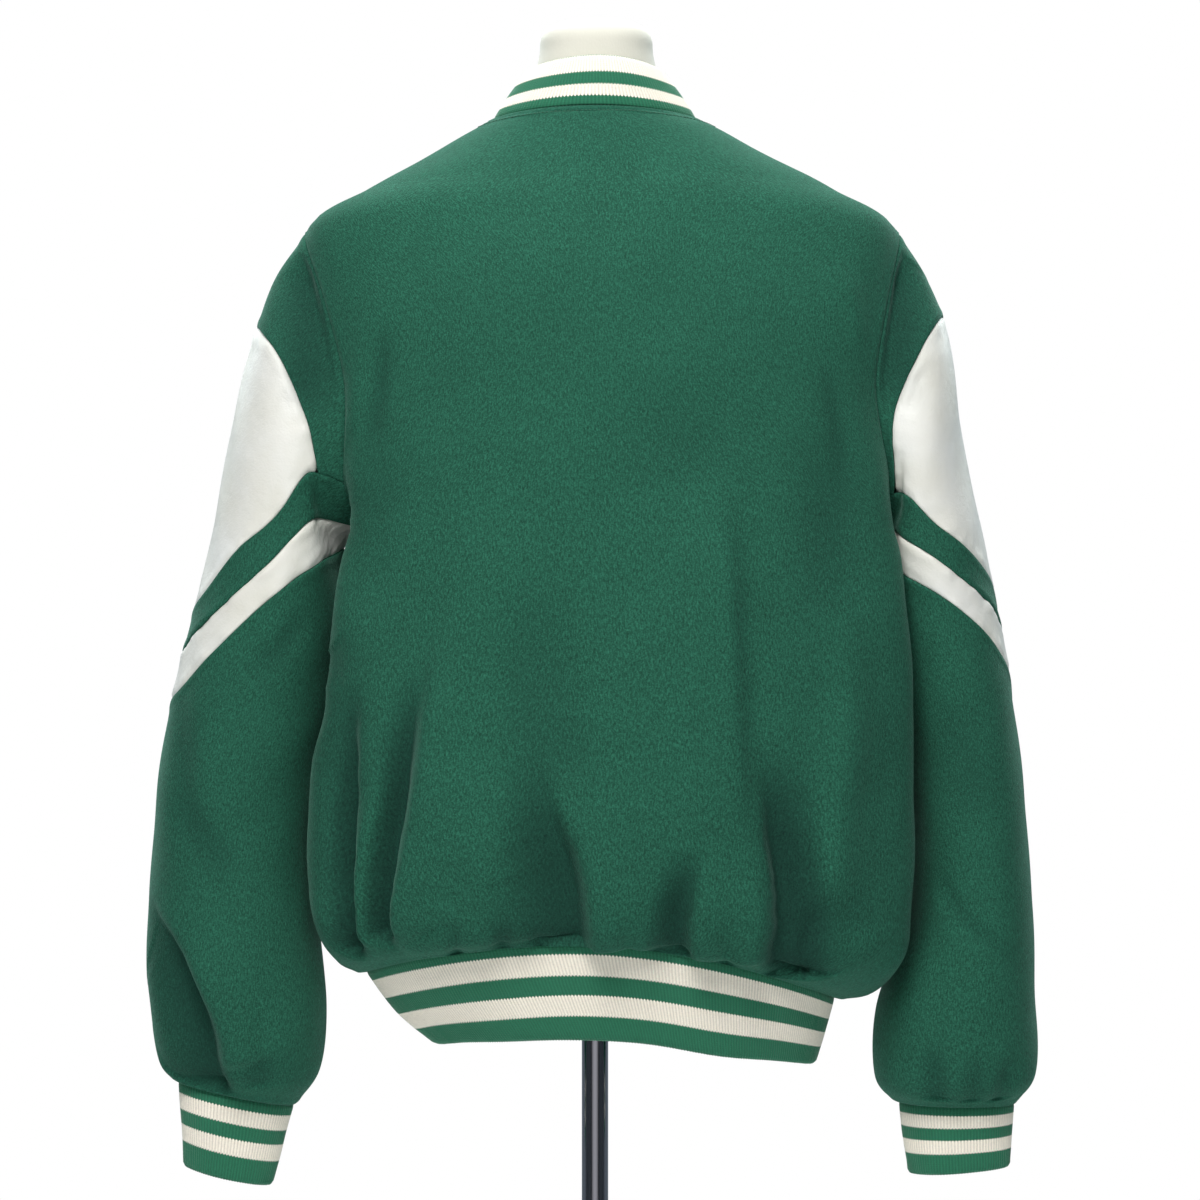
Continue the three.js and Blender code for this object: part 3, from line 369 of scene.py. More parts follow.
class JacketSizes(bpy.types.PropertyGroup):
    """Sizes that a user may change; metres unless told otherwise."""

    wool: bpy.props.FloatProperty(
        name="Wool thickness", description="Thickness of the melton", default=0.002,
        min=0.001, max=0.003, precision=4, subtype="DISTANCE", unit="LENGTH")
    hide: bpy.props.FloatProperty(
        name="Leather thickness", description="Thickness of the cowhide", default=0.0016,
        min=0.001, max=0.003, precision=4, subtype="DISTANCE", unit="LENGTH")
    rib: bpy.props.FloatProperty(
        name="Rib thickness", description="Thickness of the rib knit", default=0.0024,
        min=0.001, max=0.003, precision=4, subtype="DISTANCE", unit="LENGTH")
    grid: bpy.props.FloatProperty(
        name="Cloth grid", description="Spacing of the cloth's points", default=0.0025,
        min=0.0018, max=0.02, precision=4, subtype="DISTANCE", unit="LENGTH")
    rib_pitch: bpy.props.FloatProperty(
        name="Rib pitch", description="Width of one wale of the rib knit", default=0.0023,
        min=0.0015, max=0.006, precision=4, subtype="DISTANCE", unit="LENGTH")
    rib_depth: bpy.props.FloatProperty(
        name="Rib depth", description="Depth of the furrows between the wales", default=0.0008,
        min=0.0, max=0.002, precision=5, subtype="DISTANCE", unit="LENGTH")
    stitch: bpy.props.FloatProperty(
        name="Stitch length", description="Spacing of the topstitches", default=0.0031,
        min=0.002, max=0.006, precision=4, subtype="DISTANCE", unit="LENGTH")
    crease: bpy.props.FloatProperty(
        name="Creases", description="Height of the creases against the worn ones", default=1.0,
        min=0.0, max=1.5, subtype="FACTOR")


def linear(code):
    """A colour for the shader from its sRGB hex value."""
    parts = [int(code[i:i + 2], 16) / 255 for i in (1, 3, 5)]
    return tuple(c / 12.92 if c <= 0.04045 else ((c + 0.055) / 1.055) ** 2.4 for c in parts)


def colour(name, description, code):
    """A colour property with its default given in hex."""
    return bpy.props.FloatVectorProperty(
        name=name, description=description, default=linear(code), size=3, min=0, max=1, subtype="COLOR")


class JacketColours(bpy.types.PropertyGroup):
    """Colours that a user may change."""

    wool: colour("Wool", "Melton of the body and sleeves", "#245A48")
    knit: colour("Rib ground", "Ground of the rib knit", "#28694F")
    stripe: colour("Rib stripes", "Stripes of the rib knit", "#E7DED1")
    hide: colour("Leather", "Leather of the sleeve inserts", "#F0EFEB")
    thread: colour("Thread", "Topstitching", "#235A44")
    jersey: colour("Form", "Jersey on the dress form", "#E6E3D6")


# Numbers

def ease(value):
    """0 to 1 with flat ends."""
    t = np.clip(value, 0, 1)
    return t * t * (3 - 2 * t)


def unit(vectors):
    """Vectors of length 1; a vector with no length stays as it is."""
    size = np.linalg.norm(vectors, axis=-1, keepdims=True)
    return vectors / np.where(size < 1e-9, 1, size)


def between(column, level):
    """What lies at each level between a column's numbers or arrays, on a smooth curve through them."""
    last = len(column) - 1
    place = np.clip(np.asarray(level, float), 0, last)
    i = np.minimum(place.astype(int), last - 1)
    t = (place - i).reshape(place.shape + (1,) * (column.ndim - 1))
    a, b, c, d = (column[np.clip(i + k, 0, last)] for k in (-1, 0, 1, 2))
    bend = (2 * a - 5 * b + 4 * c - d) * t ** 2 + (3 * b - a - 3 * c + d) * t ** 3
    return b + 0.5 * ((c - a) * t + bend)


def row_at(rows, level):
    """The row at each level between a table's rows."""
    return {name: between(column, level) for name, column in rows.items()}


# Surfaces of the garment, each as points for turns and levels, in millimetres

def oval_at(turn, square):
    """Cosine and sine of a turn on an oval with full corners."""
    across, deep = np.cos(turn), np.sin(turn)
    reach = (np.abs(across) ** square + np.abs(deep) ** square) ** (-1 / square)
    return reach * across, reach * deep


def ring_point(row, turn):
    """A point of a ring of the body, its ribs or the form."""
    across, deep = oval_at(turn, row.get("square", 2.2))
    hollow = 1 - row.get("pinch", 0) * np.exp(-(np.sin(turn) / PINCH_WIDTH) ** 2)
    x = row["shift"] + row["half"] * hollow * across
    y = np.where(deep > 0, row["behind"], row["ahead"]) * hollow * deep
    ends = np.where(deep > 0, row["back"], row["front"])
    drop = row["side"] + (ends - row["side"]) * np.sin(turn) ** 2
    return np.stack([x, y, NECK_HEIGHT - drop + row.get("tilt", 0) * x], -1)


def strip(rows):
    """The surface of a strip of rib along a table's rings."""
    return lambda turn, level: ring_point(row_at(rows, level), turn)


def bulge(turn, crest, wide):
    """The share, 0 to 1, of a fold or swell whose crest and width are given in degrees."""
    off = np.angle(np.exp(1j * (turn - crest * DEGREE)))
    return np.exp(-(off / (wide * DEGREE / 2)) ** 2)


def body_point(turn, level):
    """The outside of the body with its largest folds."""
    rise = np.zeros(np.broadcast(turn, level).shape)
    for crest, wide, low, high, height in FOLDS:
        across = height * bulge(turn, crest, wide)
        rise = rise + across * ease(level / HEM_BLEND) * (1 - ease((level - low) / (high - low)))
    for crest, wide, low, high, height in SWELLS:
        across = height * bulge(turn, crest, wide)
        rise = rise + across * ease((level - low) / SWELL_STARTS) * ease((high - level) / SWELL_ENDS)
    out = np.stack(np.broadcast_arrays(np.cos(turn) * rise, np.sin(turn) * rise, 0 * rise), -1)
    return ring_point(row_at(BODY, level), turn) + out


def armhole_level(turn):
    """The body's level on the armhole at a turn of the sleeve."""
    return UNDERARM + (SHOULDER_TIP - UNDERARM) * ((1 + np.cos(turn)) / 2) ** (1 / ARMHOLE_EGG)


def armhole_turn(side, turn):
    """The body's turn on the armhole at a turn of the sleeve."""
    off = ARMHOLE_TURN * np.sin(turn)
    return off if side == LEFT else math.pi - off


def tube_point(rows, side, turn, level):
    """A point of a sleeve's or cuff's own rings."""
    row = row_at(rows, level)
    across, deep = oval_at(turn, row["square"])
    x = (row["outX"] + row["inX"]) / 2 + (row["outX"] - row["inX"]) / 2 * across
    z = (row["outZ"] + row["inZ"]) / 2 + (row["outZ"] - row["inZ"]) / 2 * across
    return np.stack(np.broadcast_arrays(side * x, row["mid"] + row["deep"] * deep, z), -1)


def sleeve_surface(side):
    """The outside of a sleeve, which starts on the armhole of the body."""
    def point(turn, level):
        held = 1 - ease(level / ARMHOLE_BLEND)
        armhole = body_point(armhole_turn(side, turn), armhole_level(turn))
        start = armhole - tube_point(SLEEVES[side], side, turn, 0 * level)
        return tube_point(SLEEVES[side], side, turn, level) + held[..., None] * start
    return point


def cuff_surface(side):
    """The outside of a cuff."""
    return lambda turn, level: tube_point(CUFFS[side], side, turn, level)


def normals(surface, turn, level, top, way):
    """Unit normals of a surface; way is 1 or -1, whichever points out of the cloth."""
    step = 0.002
    low, high = np.clip(level - step, 0, top), np.clip(level + step, 0, top)
    around = surface(turn + step, level) - surface(turn - step, level)
    return unit(way * np.cross(around, surface(turn, high) - surface(turn, low)))


def body_way(turn, level):
    """Outward direction of the body."""
    return normals(body_point, turn, level, NECK_SEAM, 1)


def sleeve_way(side, turn, level):
    """Outward direction of a sleeve."""
    return normals(sleeve_surface(side), turn, level, CUFF_SEAM, -side)


def armhole_way(side, turn):
    """Direction of the wall at the armhole seam."""
    body = body_way(armhole_turn(side, turn), armhole_level(turn))
    return unit(body + sleeve_way(side, turn, 0 * turn))


def hem_way(turn):
    """Direction of the wall at the hem seam."""
    rib = normals(strip(HEM_RIB), turn, 0 * turn, RIB_EDGE, -1)
    return unit(body_way(turn, 0 * turn) + rib)


def neck_way(turn):
    """Direction of the wall at the neck seam."""
    collar = normals(strip(COLLAR), turn, 0 * turn, RIB_EDGE, 1)
    return unit(body_way(turn, 0 * turn + NECK_SEAM) + collar)


def cuff_way(side, turn):
    """Direction of the wall at the cuff seam."""
    cuff = normals(cuff_surface(side), turn, 0 * turn, RIB_EDGE, -side)
    return unit(sleeve_way(side, turn, 0 * turn + CUFF_SEAM) + cuff)


def insert_edge(side, insert, turn):
    """Lower edge of a sleeve insert as a level; back and front are alike."""
    off = np.abs(np.angle(np.exp(1j * turn)))
    edge = np.maximum(row_at(INSERTS[side], off / INSERT_STEP)[insert], 0)
    if insert == "cap":
        return np.where(off > LEATHER_TIP[side] - 1e-6, insert_edge(side, "leather", turn), edge)
    if insert == "leather":
        return np.where(off > CAP_TIP[side] - 1e-6, 0, edge)
    return edge


def lap_shift(x, level):
    """Shift of the wearer's left front over the other near the centre front."""
    lift = bpy.context.scene.jacket_sizes.rib / MM + SEAM_GAP
    share = 1 - ease((x - LAP / 2 - SEAM_GAP) / LAP_EASE)
    up = ease((level - UNDERARM) / FACES_UP) - (1 - ease(level / FACES_DOWN))
    return np.stack(np.broadcast_arrays(0 * x, -lift * share, lift * up * share), -1)


# Creases

class Relief:
    """Creases on a surface, worked out from the distance to each crease's path."""

    def __init__(self, reference, middle, creases, strength):
        self.lines = []
        flat = reference.reshape(-1, 3)
        for behind, right, left, rise, fade_in, fade_out, path in creases:
            facing = (flat[:, 1] - middle) * (1 if behind else -1)
            shown = flat[facing > 0]
            line = self.smooth(np.array(path, float))
            places = [shown[np.argmin(np.hypot(shown[:, 0] - x, shown[:, 2] - z))] for x, z in line]
            self.lines.append((np.array(places), right, left, rise * strength, fade_in, fade_out))

    @staticmethod
    def smooth(path):
        """A path with points every 9 mm or so, on a smooth curve."""
        rows = {"x": path[:, 0], "z": path[:, 1]}
        length = np.hypot(*np.diff(path, axis=0).T).sum()
        found = row_at(rows, np.linspace(0, len(path) - 1, max(3, round(length / 9))))
        return np.stack([found["x"], found["z"]], -1)

    def at(self, points, ways, room):
        """Height of the creases, and painted shade in the sharper troughs, at points whose outward
        directions and distances to a gathered seam are given; a crease dies out beside that seam
        over a run that grows with its height."""
        flat, out, free = points.reshape(-1, 3), ways.reshape(-1, 3), room.ravel()
        total, dark = np.zeros(len(flat)), np.zeros(len(flat))
        for line, right, left, rise, fade_in, fade_out in self.lines:
            reach = CREASE_REACH * max(right, left)
            near = np.all((flat > line.min(0) - reach) & (flat < line.max(0) + reach), axis=1)
            if near.any():
                held = rise * ease(free[near] / max(HEM_FADE, CREASE_RUN * abs(rise)))
                lift = held * self.height(flat[near], out[near], line, right, left, fade_in, fade_out)
                total[near] += lift
                # painted shade: a trough darkens the cloth more the deeper and narrower it is
                dark[near] -= lift * min(1, PAINTED_SHADE_WIDTH / (right + left)) ** 2
        hollow = 1 - np.exp(-np.clip(dark, 0, None) / PAINTED_SHADE_DEPTH)
        return total.reshape(room.shape), hollow.reshape(room.shape)

    @staticmethod
    def height(points, out, line, right, left, fade_in, fade_out):
        """The crease's own profile, 0 to 1."""
        start, span = line[:-1], np.diff(line, axis=0)
        lengths = np.linalg.norm(span, axis=1)
        span, start, lengths = span[lengths > 1e-6], start[lengths > 1e-6], lengths[lengths > 1e-6]
        before = np.concatenate([[0], np.cumsum(lengths)[:-1]])
        away = points[:, None] - start[None]
        along = np.clip((away * span).sum(-1) / lengths ** 2, 0, 1)
        miss = away - along[..., None] * span
        nearest = np.argmin((miss ** 2).sum(-1), axis=1)
        pick = np.arange(len(points)), nearest
        distance = np.linalg.norm(miss[pick], axis=-1)
        share = (before[nearest] + along[pick] * lengths[nearest]) / lengths.sum()
        handed = (np.cross(span[nearest], miss[pick]) * out).sum(-1)
        wide = np.where(handed > 0, right, left)
        fade = ease(share / fade_in) * ease((1 - share) / fade_out)
        return np.exp(-(distance / wide) ** 2) * fade


def waviness(points, height):
    """Slow unevenness of hung cloth: a few waves in fixed directions."""
    chance = np.random.default_rng(WAVE_SEED)
    total = np.zeros(points.shape[:-1])
    for _ in range(WAVES):
        way = unit(chance.normal(size=3))
        length = chance.uniform(SHORTEST_WAVE, LONGEST_WAVE)
        total = total + np.sin((points @ way) * 2 * math.pi / length + chance.uniform(0, 6.3))
    return height * total / 3


# Grids and shells

def spaced(length, step):
    """Shares from 0 to 1 along an edge of that length, closer together at both ends."""
    ends = [s for s in EDGE_STEPS if s < length * 0.4]
    inner = 2 * max(1, round((length - 2 * ends[-1]) / step / 2))
    middle = np.linspace(ends[-1], length - ends[-1], inner + 1)[1:-1]
    return np.concatenate([ends, middle, [length - s for s in reversed(ends)]]) / length


def even_levels(surface, turn, low, high, step, dense=(True, True)):
    """Levels between two, even in millimetres along one turn of a surface."""
    fine = np.linspace(low, high, 400)
    line = surface(np.full(len(fine), turn), fine)
    run = np.concatenate([[0], np.cumsum(np.linalg.norm(np.diff(line, axis=0), axis=1))])
    shares = spaced(run[-1], step)
    plain = np.linspace(0, 1, max(2, round(run[-1] / step)) + 1)
    first = shares[shares < 0.5] if dense[0] else plain[plain < 0.5]
    last = shares[shares >= 0.5] if dense[1] else plain[plain >= 0.5]
    return np.interp(np.concatenate([first, last]) * run[-1], run, fine)


def run_along(points, axis):
    """Distances along a grid's lines from their start, and to their end."""
    steps = np.linalg.norm(np.diff(points, axis=axis), axis=-1)
    run = np.cumsum(steps, axis=axis)
    zero = np.zeros_like(np.take(points[..., 0], [0], axis=axis))
    run = np.concatenate([zero, run], axis=axis)
    return run, np.take(run, [-1], axis=axis) - run


def lean(ways, seam_ways, distance):
    """Outward directions that turn to the seam's own direction near it."""
    share = (1 - ease(distance / LEAN_REACH))[..., None]
    return unit(ways * (1 - share) + seam_ways * share)


def edge_height(distance, kind):
    """How far the cloth's face lies above its plain form beside an edge."""
    depth, reach, swell, groove, groove_at = EDGE_KINDS[kind]
    inside = np.clip(1 - distance / reach, 0, 1)
    height = -depth * (1 - np.sqrt(1 - inside ** 2))
    height += swell * np.exp(-((distance - reach - SWELL_AT) / SWELL_WIDE) ** 2)
    return height - groove * np.exp(-((distance - groove_at) / GROOVE_WIDE) ** 2)


def placed(name, data):
    """A new object of a mesh, lamp or camera, in the scene."""
    made = bpy.data.objects.new(name, data)
    bpy.context.scene.collection.objects.link(made)
    return made


def outward(mesh, ways):
    """Gives each point of a mesh its outward direction, for the trees that read it."""
    layer = mesh.attributes.new("out", "FLOAT_VECTOR", "POINT")
    layer.data.foreach_set("vector", ways.astype(np.float32).ravel())


def mesh_object(name, verts, faces, corner_uv, hollow):
    """A mesh object of points in metres, with collapsed corners welded and faces out."""
    mesh = bpy.data.meshes.new(name)
    mesh.from_pydata(verts.tolist(), [], faces)
    layer = mesh.uv_layers.new(name="cloth")
    layer.data.foreach_set("uv", corner_uv.astype(np.float32).ravel())
    # hollow: painted shade in the troughs of the creases, for the materials to read
    if hollow is not None:
        shaded = mesh.attributes.new("hollow", "FLOAT", "POINT")
        shaded.data.foreach_set("value", hollow.astype(np.float32))
    work = bmesh.new()
    work.from_mesh(mesh)
    bmesh.ops.remove_doubles(work, verts=work.verts, dist=2e-6)
    bmesh.ops.dissolve_degenerate(work, edges=work.edges, dist=1e-6)
    if work.calc_volume(signed=True) < 0:
        bmesh.ops.reverse_faces(work, faces=work.faces)
    work.to_mesh(mesh)
    work.free()
    mesh.shade_smooth()
    return placed(name, mesh)


def shell(name, outer, inner, closed, uv, hollow=None):
    """A closed wall between two grids of points, the inner one taken at every second row and
    column; both counts of intervals are even. uv has a column more where the grid wraps. hollow
    is the painted shade of each point of the outer wall in the troughs of the creases, from 0 to 1."""
    rows, columns = outer.shape[:2]
    inner = inner[::2, ::2]
    inner_columns, base = inner.shape[1], rows * columns
    groups, corner_uv = [], []

    def put(corners, places):
        """Faces given by the indices of their corners and by the rows and columns of their uv."""
        groups.extend(np.stack([np.ravel(c) for c in corners], -1).tolist())
        spots = np.stack([uv[np.ravel(r), np.ravel(c)] for r, c in places], -2)
        corner_uv.append(spots.reshape(-1, 2))

    def wall(step, wide, first, order):
        """The faces of one wall, at every row and column or at every second one."""
        ends = (columns if closed else columns - 1) // step
        r, c = np.meshgrid(np.arange((rows - 1) // step), np.arange(ends), indexing="ij")
        n = (c + 1) % wide
        corners = [first + a * wide + b for a, b in ((r, c), (r, n), (r + 1, n), (r + 1, c))]
        places = [(r * step, c * step), (r * step, (c + 1) * step), ((r + 1) * step, (c + 1) * step),
                  ((r + 1) * step, c * step)]
        put(corners[::order], places[::order])

    wall(1, columns, 0, 1)
    wall(2, inner_columns, base, -1)

    def rim(row, column, along_row, order):
        """A band of faces between the two walls along an edge of the grid."""
        count = ((columns if closed else columns - 1) if along_row else rows - 1) // 2
        k = np.arange(count) * 2
        spots = []
        for shift in (0, 1, 2):
            r, c = (np.full(count, row), k + shift) if along_row else (k + shift, np.full(count, column))
            spots.append((r, c))
        outside = [r * columns + c % columns for r, c in spots]
        inside = [base + (r // 2) * inner_columns + (c // 2) % inner_columns
                  for r, c in (spots[0], spots[2])]
        corners = [outside[2], outside[1], outside[0], inside[0], inside[1]]
        places = [spots[2], spots[1], spots[0], spots[0], spots[2]]
        put(corners[::order], places[::order])

    rim(0, 0, True, 1)
    rim(rows - 1, 0, True, -1)
    if not closed:
        rim(0, 0, False, -1)
        rim(0, columns - 1, False, 1)
    verts = np.concatenate([outer.reshape(-1, 3), inner.reshape(-1, 3)]) * MM
    shaded = None
    if hollow is not None:
        shaded = np.concatenate([hollow.ravel(), hollow[::2, ::2].ravel()])
    return mesh_object(name, verts, groups, np.concatenate(corner_uv), shaded)


def cloth_uv(points, closed):
    """Millimetres across and along a grid, in metres, with a column more where it wraps."""
    if closed:
        points = np.concatenate([points, points[:, :1]], axis=1)
    across, _ = run_along(points, 1)
    middle = across[len(across) // 2]
    down, _ = run_along(points, 0)
    return np.stack([np.broadcast_to(middle, down.shape), down], -1) * MM


def level_ways(ways):
    """Directions in which creases rise: outwards, but hardly down where the cloth faces down."""
    down = ways[..., 2:] < 0
    return unit(ways * np.where(down, [1, 1, CREASE_DROP], [1, 1, 1]))


def cloth_shell(name, points, ways, height, dip, thick, closed, hollow):
    """A shell whose face is raised by height and lowered by dip beside its edges; hollow is the
    painted shade in its troughs, from 0 to 1."""
    outer = points + ways * (height + dip)[..., None]
    under = np.minimum(dip + INSIDE_FLAT, 0)
    inner = points + ways * (height + under - thick)[..., None]
    return shell(name, outer, inner, closed, cloth_uv(points, closed), hollow)


def finish_piece(piece, material, slot, *nodes):
    """Gives a finished piece its material and its place in the frame."""
    piece.data.materials.clear()
    piece.data.materials.append(material)
    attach(piece, "root")
    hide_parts(*nodes)


# Nodes and materials

FIRST_COLOUR, SECOND_COLOUR, MIXED_COLOUR = 6, 7, 2  # sockets of a Mix node set to colours


def feed(tree, fed, inputs):
    """Sets a node's inputs, each to a value or to the socket that feeds it."""
    for key, value in inputs.items():
        if isinstance(value, bpy.types.NodeSocket):
            tree.links.new(value, fed.inputs[key])
        else:
            fed.inputs[key].default_value = value


def node(tree, kind, inputs=None, **settings):
    """Adds a node with its settings and inputs."""
    made = tree.nodes.new(kind)
    for name, value in settings.items():
        setattr(made, name, value)
    feed(tree, made, inputs or {})
    return made


def material_tree(name):
    """A new material's tree and its shader, already on the output."""
    material = bpy.data.materials.new(name)
    material.use_nodes = True
    tree = material.node_tree
    tree.nodes.clear()
    shader = node(tree, "ShaderNodeBsdfPrincipled")
    node(tree, "ShaderNodeOutputMaterial", {"Surface": shader.outputs[0]})
    return material, tree, shader


def shade(rgb, factor=1):
    """A colour made lighter or darker, with its alpha."""
    return (*[min(1, c * factor) for c in rgb], 1)


def painted_trough_shade(tree, tone, rgb, share):
    """A colour socket that turns by a share to a darker colour in the troughs of the creases:
    painted shade, read from the hollow attribute."""
    hollow = node(tree, "ShaderNodeAttribute", attribute_name="hollow")
    part = node(tree, "ShaderNodeMath", {0: hollow.outputs["Fac"], 1: share}, operation="MULTIPLY")
    mixed = node(tree, "ShaderNodeMix", {
        "Factor": part.outputs[0], FIRST_COLOUR: tone, SECOND_COLOUR: shade(rgb)}, data_type="RGBA")
    return mixed.outputs[MIXED_COLOUR]


def melton_wool(rgb):
    """Felted melton wool: fulled and brushed twill, so a matt face with short fuzz that catches
    light at its edges, small light and dark flecks, slanted twill lines nearly felted over, and
    painted shade in the troughs of the creases.
    The twill's real pitch is 1 mm; it is drawn at 1.2 mm so that it shows."""
    material, tree, shader = material_tree("melton wool")
    uv = node(tree, "ShaderNodeUVMap", uv_map="cloth")
    place = node(tree, "ShaderNodeTexCoord")
    slanted = node(tree, "ShaderNodeMapping", {
        "Vector": uv.outputs[0], "Rotation": (0, 0, 0.95), "Scale": (1000 / 1.2, 1000 / 3.0, 1)})
    twill = node(tree, "ShaderNodeTexNoise", {
        "Vector": slanted.outputs[0], "Scale": 1.0, "Detail": 1.5, "Roughness": 0.55, "Distortion": 0.4})
    felt = node(tree, "ShaderNodeTexNoise", {
        "Vector": place.outputs["Object"], "Scale": 1000 / 1.1, "Detail": 2.0, "Roughness": 0.6})
    cloud = node(tree, "ShaderNodeTexNoise", {
        "Vector": place.outputs["Object"], "Scale": 1000 / 38, "Detail": 3.0, "Roughness": 0.5})
    fleck = node(tree, "ShaderNodeMath", {0: twill.outputs[0], 1: felt.outputs[0]}, operation="ADD")
    mixed = node(tree, "ShaderNodeMath", {0: cloud.outputs[0], 1: 0.12, 2: fleck.outputs[0]},
                 operation="MULTIPLY_ADD")
    tone = node(tree, "ShaderNodeValToRGB", {
        "Fac": node(tree, "ShaderNodeMapRange", {
            "Value": mixed.outputs[0], "From Min": 0.66, "From Max": 1.46}).outputs[0]})
    ramp = tone.color_ramp.elements
    ramp[0].position, ramp[0].color = 0.08, shade(rgb, 0.5)
    ramp[1].position, ramp[1].color = 0.95, shade(rgb, 1.75)
    ramp.new(0.5).color = shade(rgb)
    bump = node(tree, "ShaderNodeBump", {
        "Height": fleck.outputs[0], "Strength": 0.55, "Distance": 0.0009})
    # painted shade: in the troughs of the creases the wool turns towards a dark blue-green, #0E2A26
    feed(tree, shader, {
        "Base Color": painted_trough_shade(tree, tone.outputs[0], linear("#0E2A26"), 0.72), "Roughness": 0.95,
        "Specular IOR Level": 0.2, "Sheen Weight": 0.16, "Sheen Roughness": 0.25,
        "Sheen Tint": (0.5, 0.98, 0.8, 1),
        "Normal": bump.outputs[0]})
    return material


def cowhide(rgb):
    """Corrected-grain white cowhide: pigmented and pressed, so a smooth low sheen with small pebbles
    of grain, faint creasing, a slightly yellow cast where it was handled, and painted grey shade in
    the troughs of the creases."""
    material, tree, shader = material_tree("white cowhide")
    place = node(tree, "ShaderNodeTexCoord")
    pebble = node(tree, "ShaderNodeTexVoronoi", {
        "Vector": place.outputs["Object"], "Scale": 1000 / 1.5}, feature="F1")
    crinkle = node(tree, "ShaderNodeTexNoise", {
        "Vector": place.outputs["Object"], "Scale": 1000 / 9, "Detail": 5.0, "Roughness": 0.62})
    wear = node(tree, "ShaderNodeTexNoise", {
        "Vector": place.outputs["Object"], "Scale": 1000 / 45, "Detail": 4.0})
    tone = node(tree, "ShaderNodeValToRGB", {"Fac": wear.outputs[0]})
    ramp = tone.color_ramp.elements
    ramp[0].position, ramp[0].color = 0.3, shade((rgb[0], rgb[1] * 0.985, rgb[2] * 0.93), 0.9)
    ramp[1].position, ramp[1].color = 0.72, shade(rgb)
    gloss = node(tree, "ShaderNodeMapRange", {
        "Value": crinkle.outputs[0], "From Min": 0.3, "From Max": 0.7, "To Min": 0.38, "To Max": 0.58})
    fine = node(tree, "ShaderNodeBump", {
        "Height": pebble.outputs[0], "Strength": 0.3, "Distance": 0.0003})
    broad = node(tree, "ShaderNodeBump", {
        "Height": crinkle.outputs[0], "Strength": 0.35, "Distance": 0.0016, "Normal": fine.outputs[0]})
    # painted shade: in the troughs of the creases the leather turns towards grey, #8F9390
    feed(tree, shader, {
        "Base Color": painted_trough_shade(tree, tone.outputs[0], linear("#8F9390"), 0.6),
        "Roughness": gloss.outputs[0], "IOR": 1.5,
        "Normal": broad.outputs[0]})
    return material


def rib_knit(name, ground, stripe, bands, height):
    """Rib knit of wool and acrylic: upright wales with a soft fuzz, and stripes knitted in, whose
    edges step up and down by a stitch from wale to wale; painted shade rises and falls across each
    wale in step with the raised wales. height is the rib's own, in metres."""
    material, tree, shader = material_tree(name)
    pitch = bpy.context.scene.jacket_sizes.rib_pitch
    uv = node(tree, "ShaderNodeSeparateXYZ", {0: node(tree, "ShaderNodeUVMap", uv_map="cloth").outputs[0]})
    wale = node(tree, "ShaderNodeMath", {0: uv.outputs[0], 1: 1 / pitch}, operation="MULTIPLY")
    step = node(tree, "ShaderNodeMath", {0: wale.outputs[0], 1: 0.5}, operation="PINGPONG")
    tooth = node(tree, "ShaderNodeMath", {0: step.outputs[0], 1: STRIPE_STEP / height, 2: uv.outputs[1]},
                 operation="MULTIPLY_ADD")
    tone = node(tree, "ShaderNodeValToRGB", {"Fac": tooth.outputs[0]})
    ramp = tone.color_ramp
    ramp.interpolation = "CONSTANT"
    ramp.elements[0].color = shade(ground)
    ramp.elements[1].position, ramp.elements[1].color = min(bands[0], 1), shade(stripe)
    for i, place in enumerate(bands[1:]):
        ramp.elements.new(min(place, 1)).color = shade(ground if i % 2 == 0 else stripe)
    grain = node(tree, "ShaderNodeTexNoise", {
        "Vector": node(tree, "ShaderNodeTexCoord").outputs["Object"], "Scale": 1000 / 1.1, "Detail": 2.0})
    # painted shade across each wale: the colour rises and falls in step with the raised wales, times a
    # random grain
    painted_wale_shade = node(tree, "ShaderNodeMapRange", {
        "Value": step.outputs[0], "From Min": 0.0, "From Max": 0.5, "To Min": 0.8, "To Max": 1.17})
    lit = node(tree, "ShaderNodeMath", {0: grain.outputs[0], 1: 0.35, 2: painted_wale_shade.outputs[0]},
               operation="MULTIPLY_ADD")
    dye_with_painted_shade = node(tree, "ShaderNodeMix", {
        "Factor": 1.0, FIRST_COLOUR: tone.outputs[0], SECOND_COLOUR: lit.outputs[0]},
        data_type="RGBA", blend_type="MULTIPLY")
    loops = node(tree, "ShaderNodeMath", {0: uv.outputs[1], 1: 2 * math.pi * height / RIB_LOOP},
                 operation="MULTIPLY")
    row = node(tree, "ShaderNodeMath", {0: loops.outputs[0]}, operation="SINE")
    knit = node(tree, "ShaderNodeMath", {0: row.outputs[0], 1: 0.25, 2: grain.outputs[0]},
                operation="MULTIPLY_ADD")
    bump = node(tree, "ShaderNodeBump", {"Height": knit.outputs[0], "Strength": 0.4, "Distance": 0.0005})
    feed(tree, shader, {
        "Base Color": dye_with_painted_shade.outputs[MIXED_COLOUR], "Roughness": 0.9, "Specular IOR Level": 0.25,
        "Sheen Weight": 0.4, "Sheen Roughness": 0.4, "Sheen Tint": (0.85, 0.97, 0.9, 1),
        "Normal": bump.outputs[0]})
    return material


def sewing_thread(rgb):
    """Spun polyester thread: twisted, so a faint gloss and light and dark plies."""
    material, tree, shader = material_tree("polyester thread")
    ply = node(tree, "ShaderNodeTexNoise", {
        "Vector": node(tree, "ShaderNodeTexCoord").outputs["Object"], "Scale": 1000 / 0.8})
    tone = node(tree, "ShaderNodeValToRGB", {"Fac": ply.outputs[0]})
    tone.color_ramp.elements[0].color = shade(rgb, 0.7)
    tone.color_ramp.elements[1].color = shade(rgb, 1.5)
    feed(tree, shader, {"Base Color": tone.outputs[0], "Roughness": 0.55})
    return material


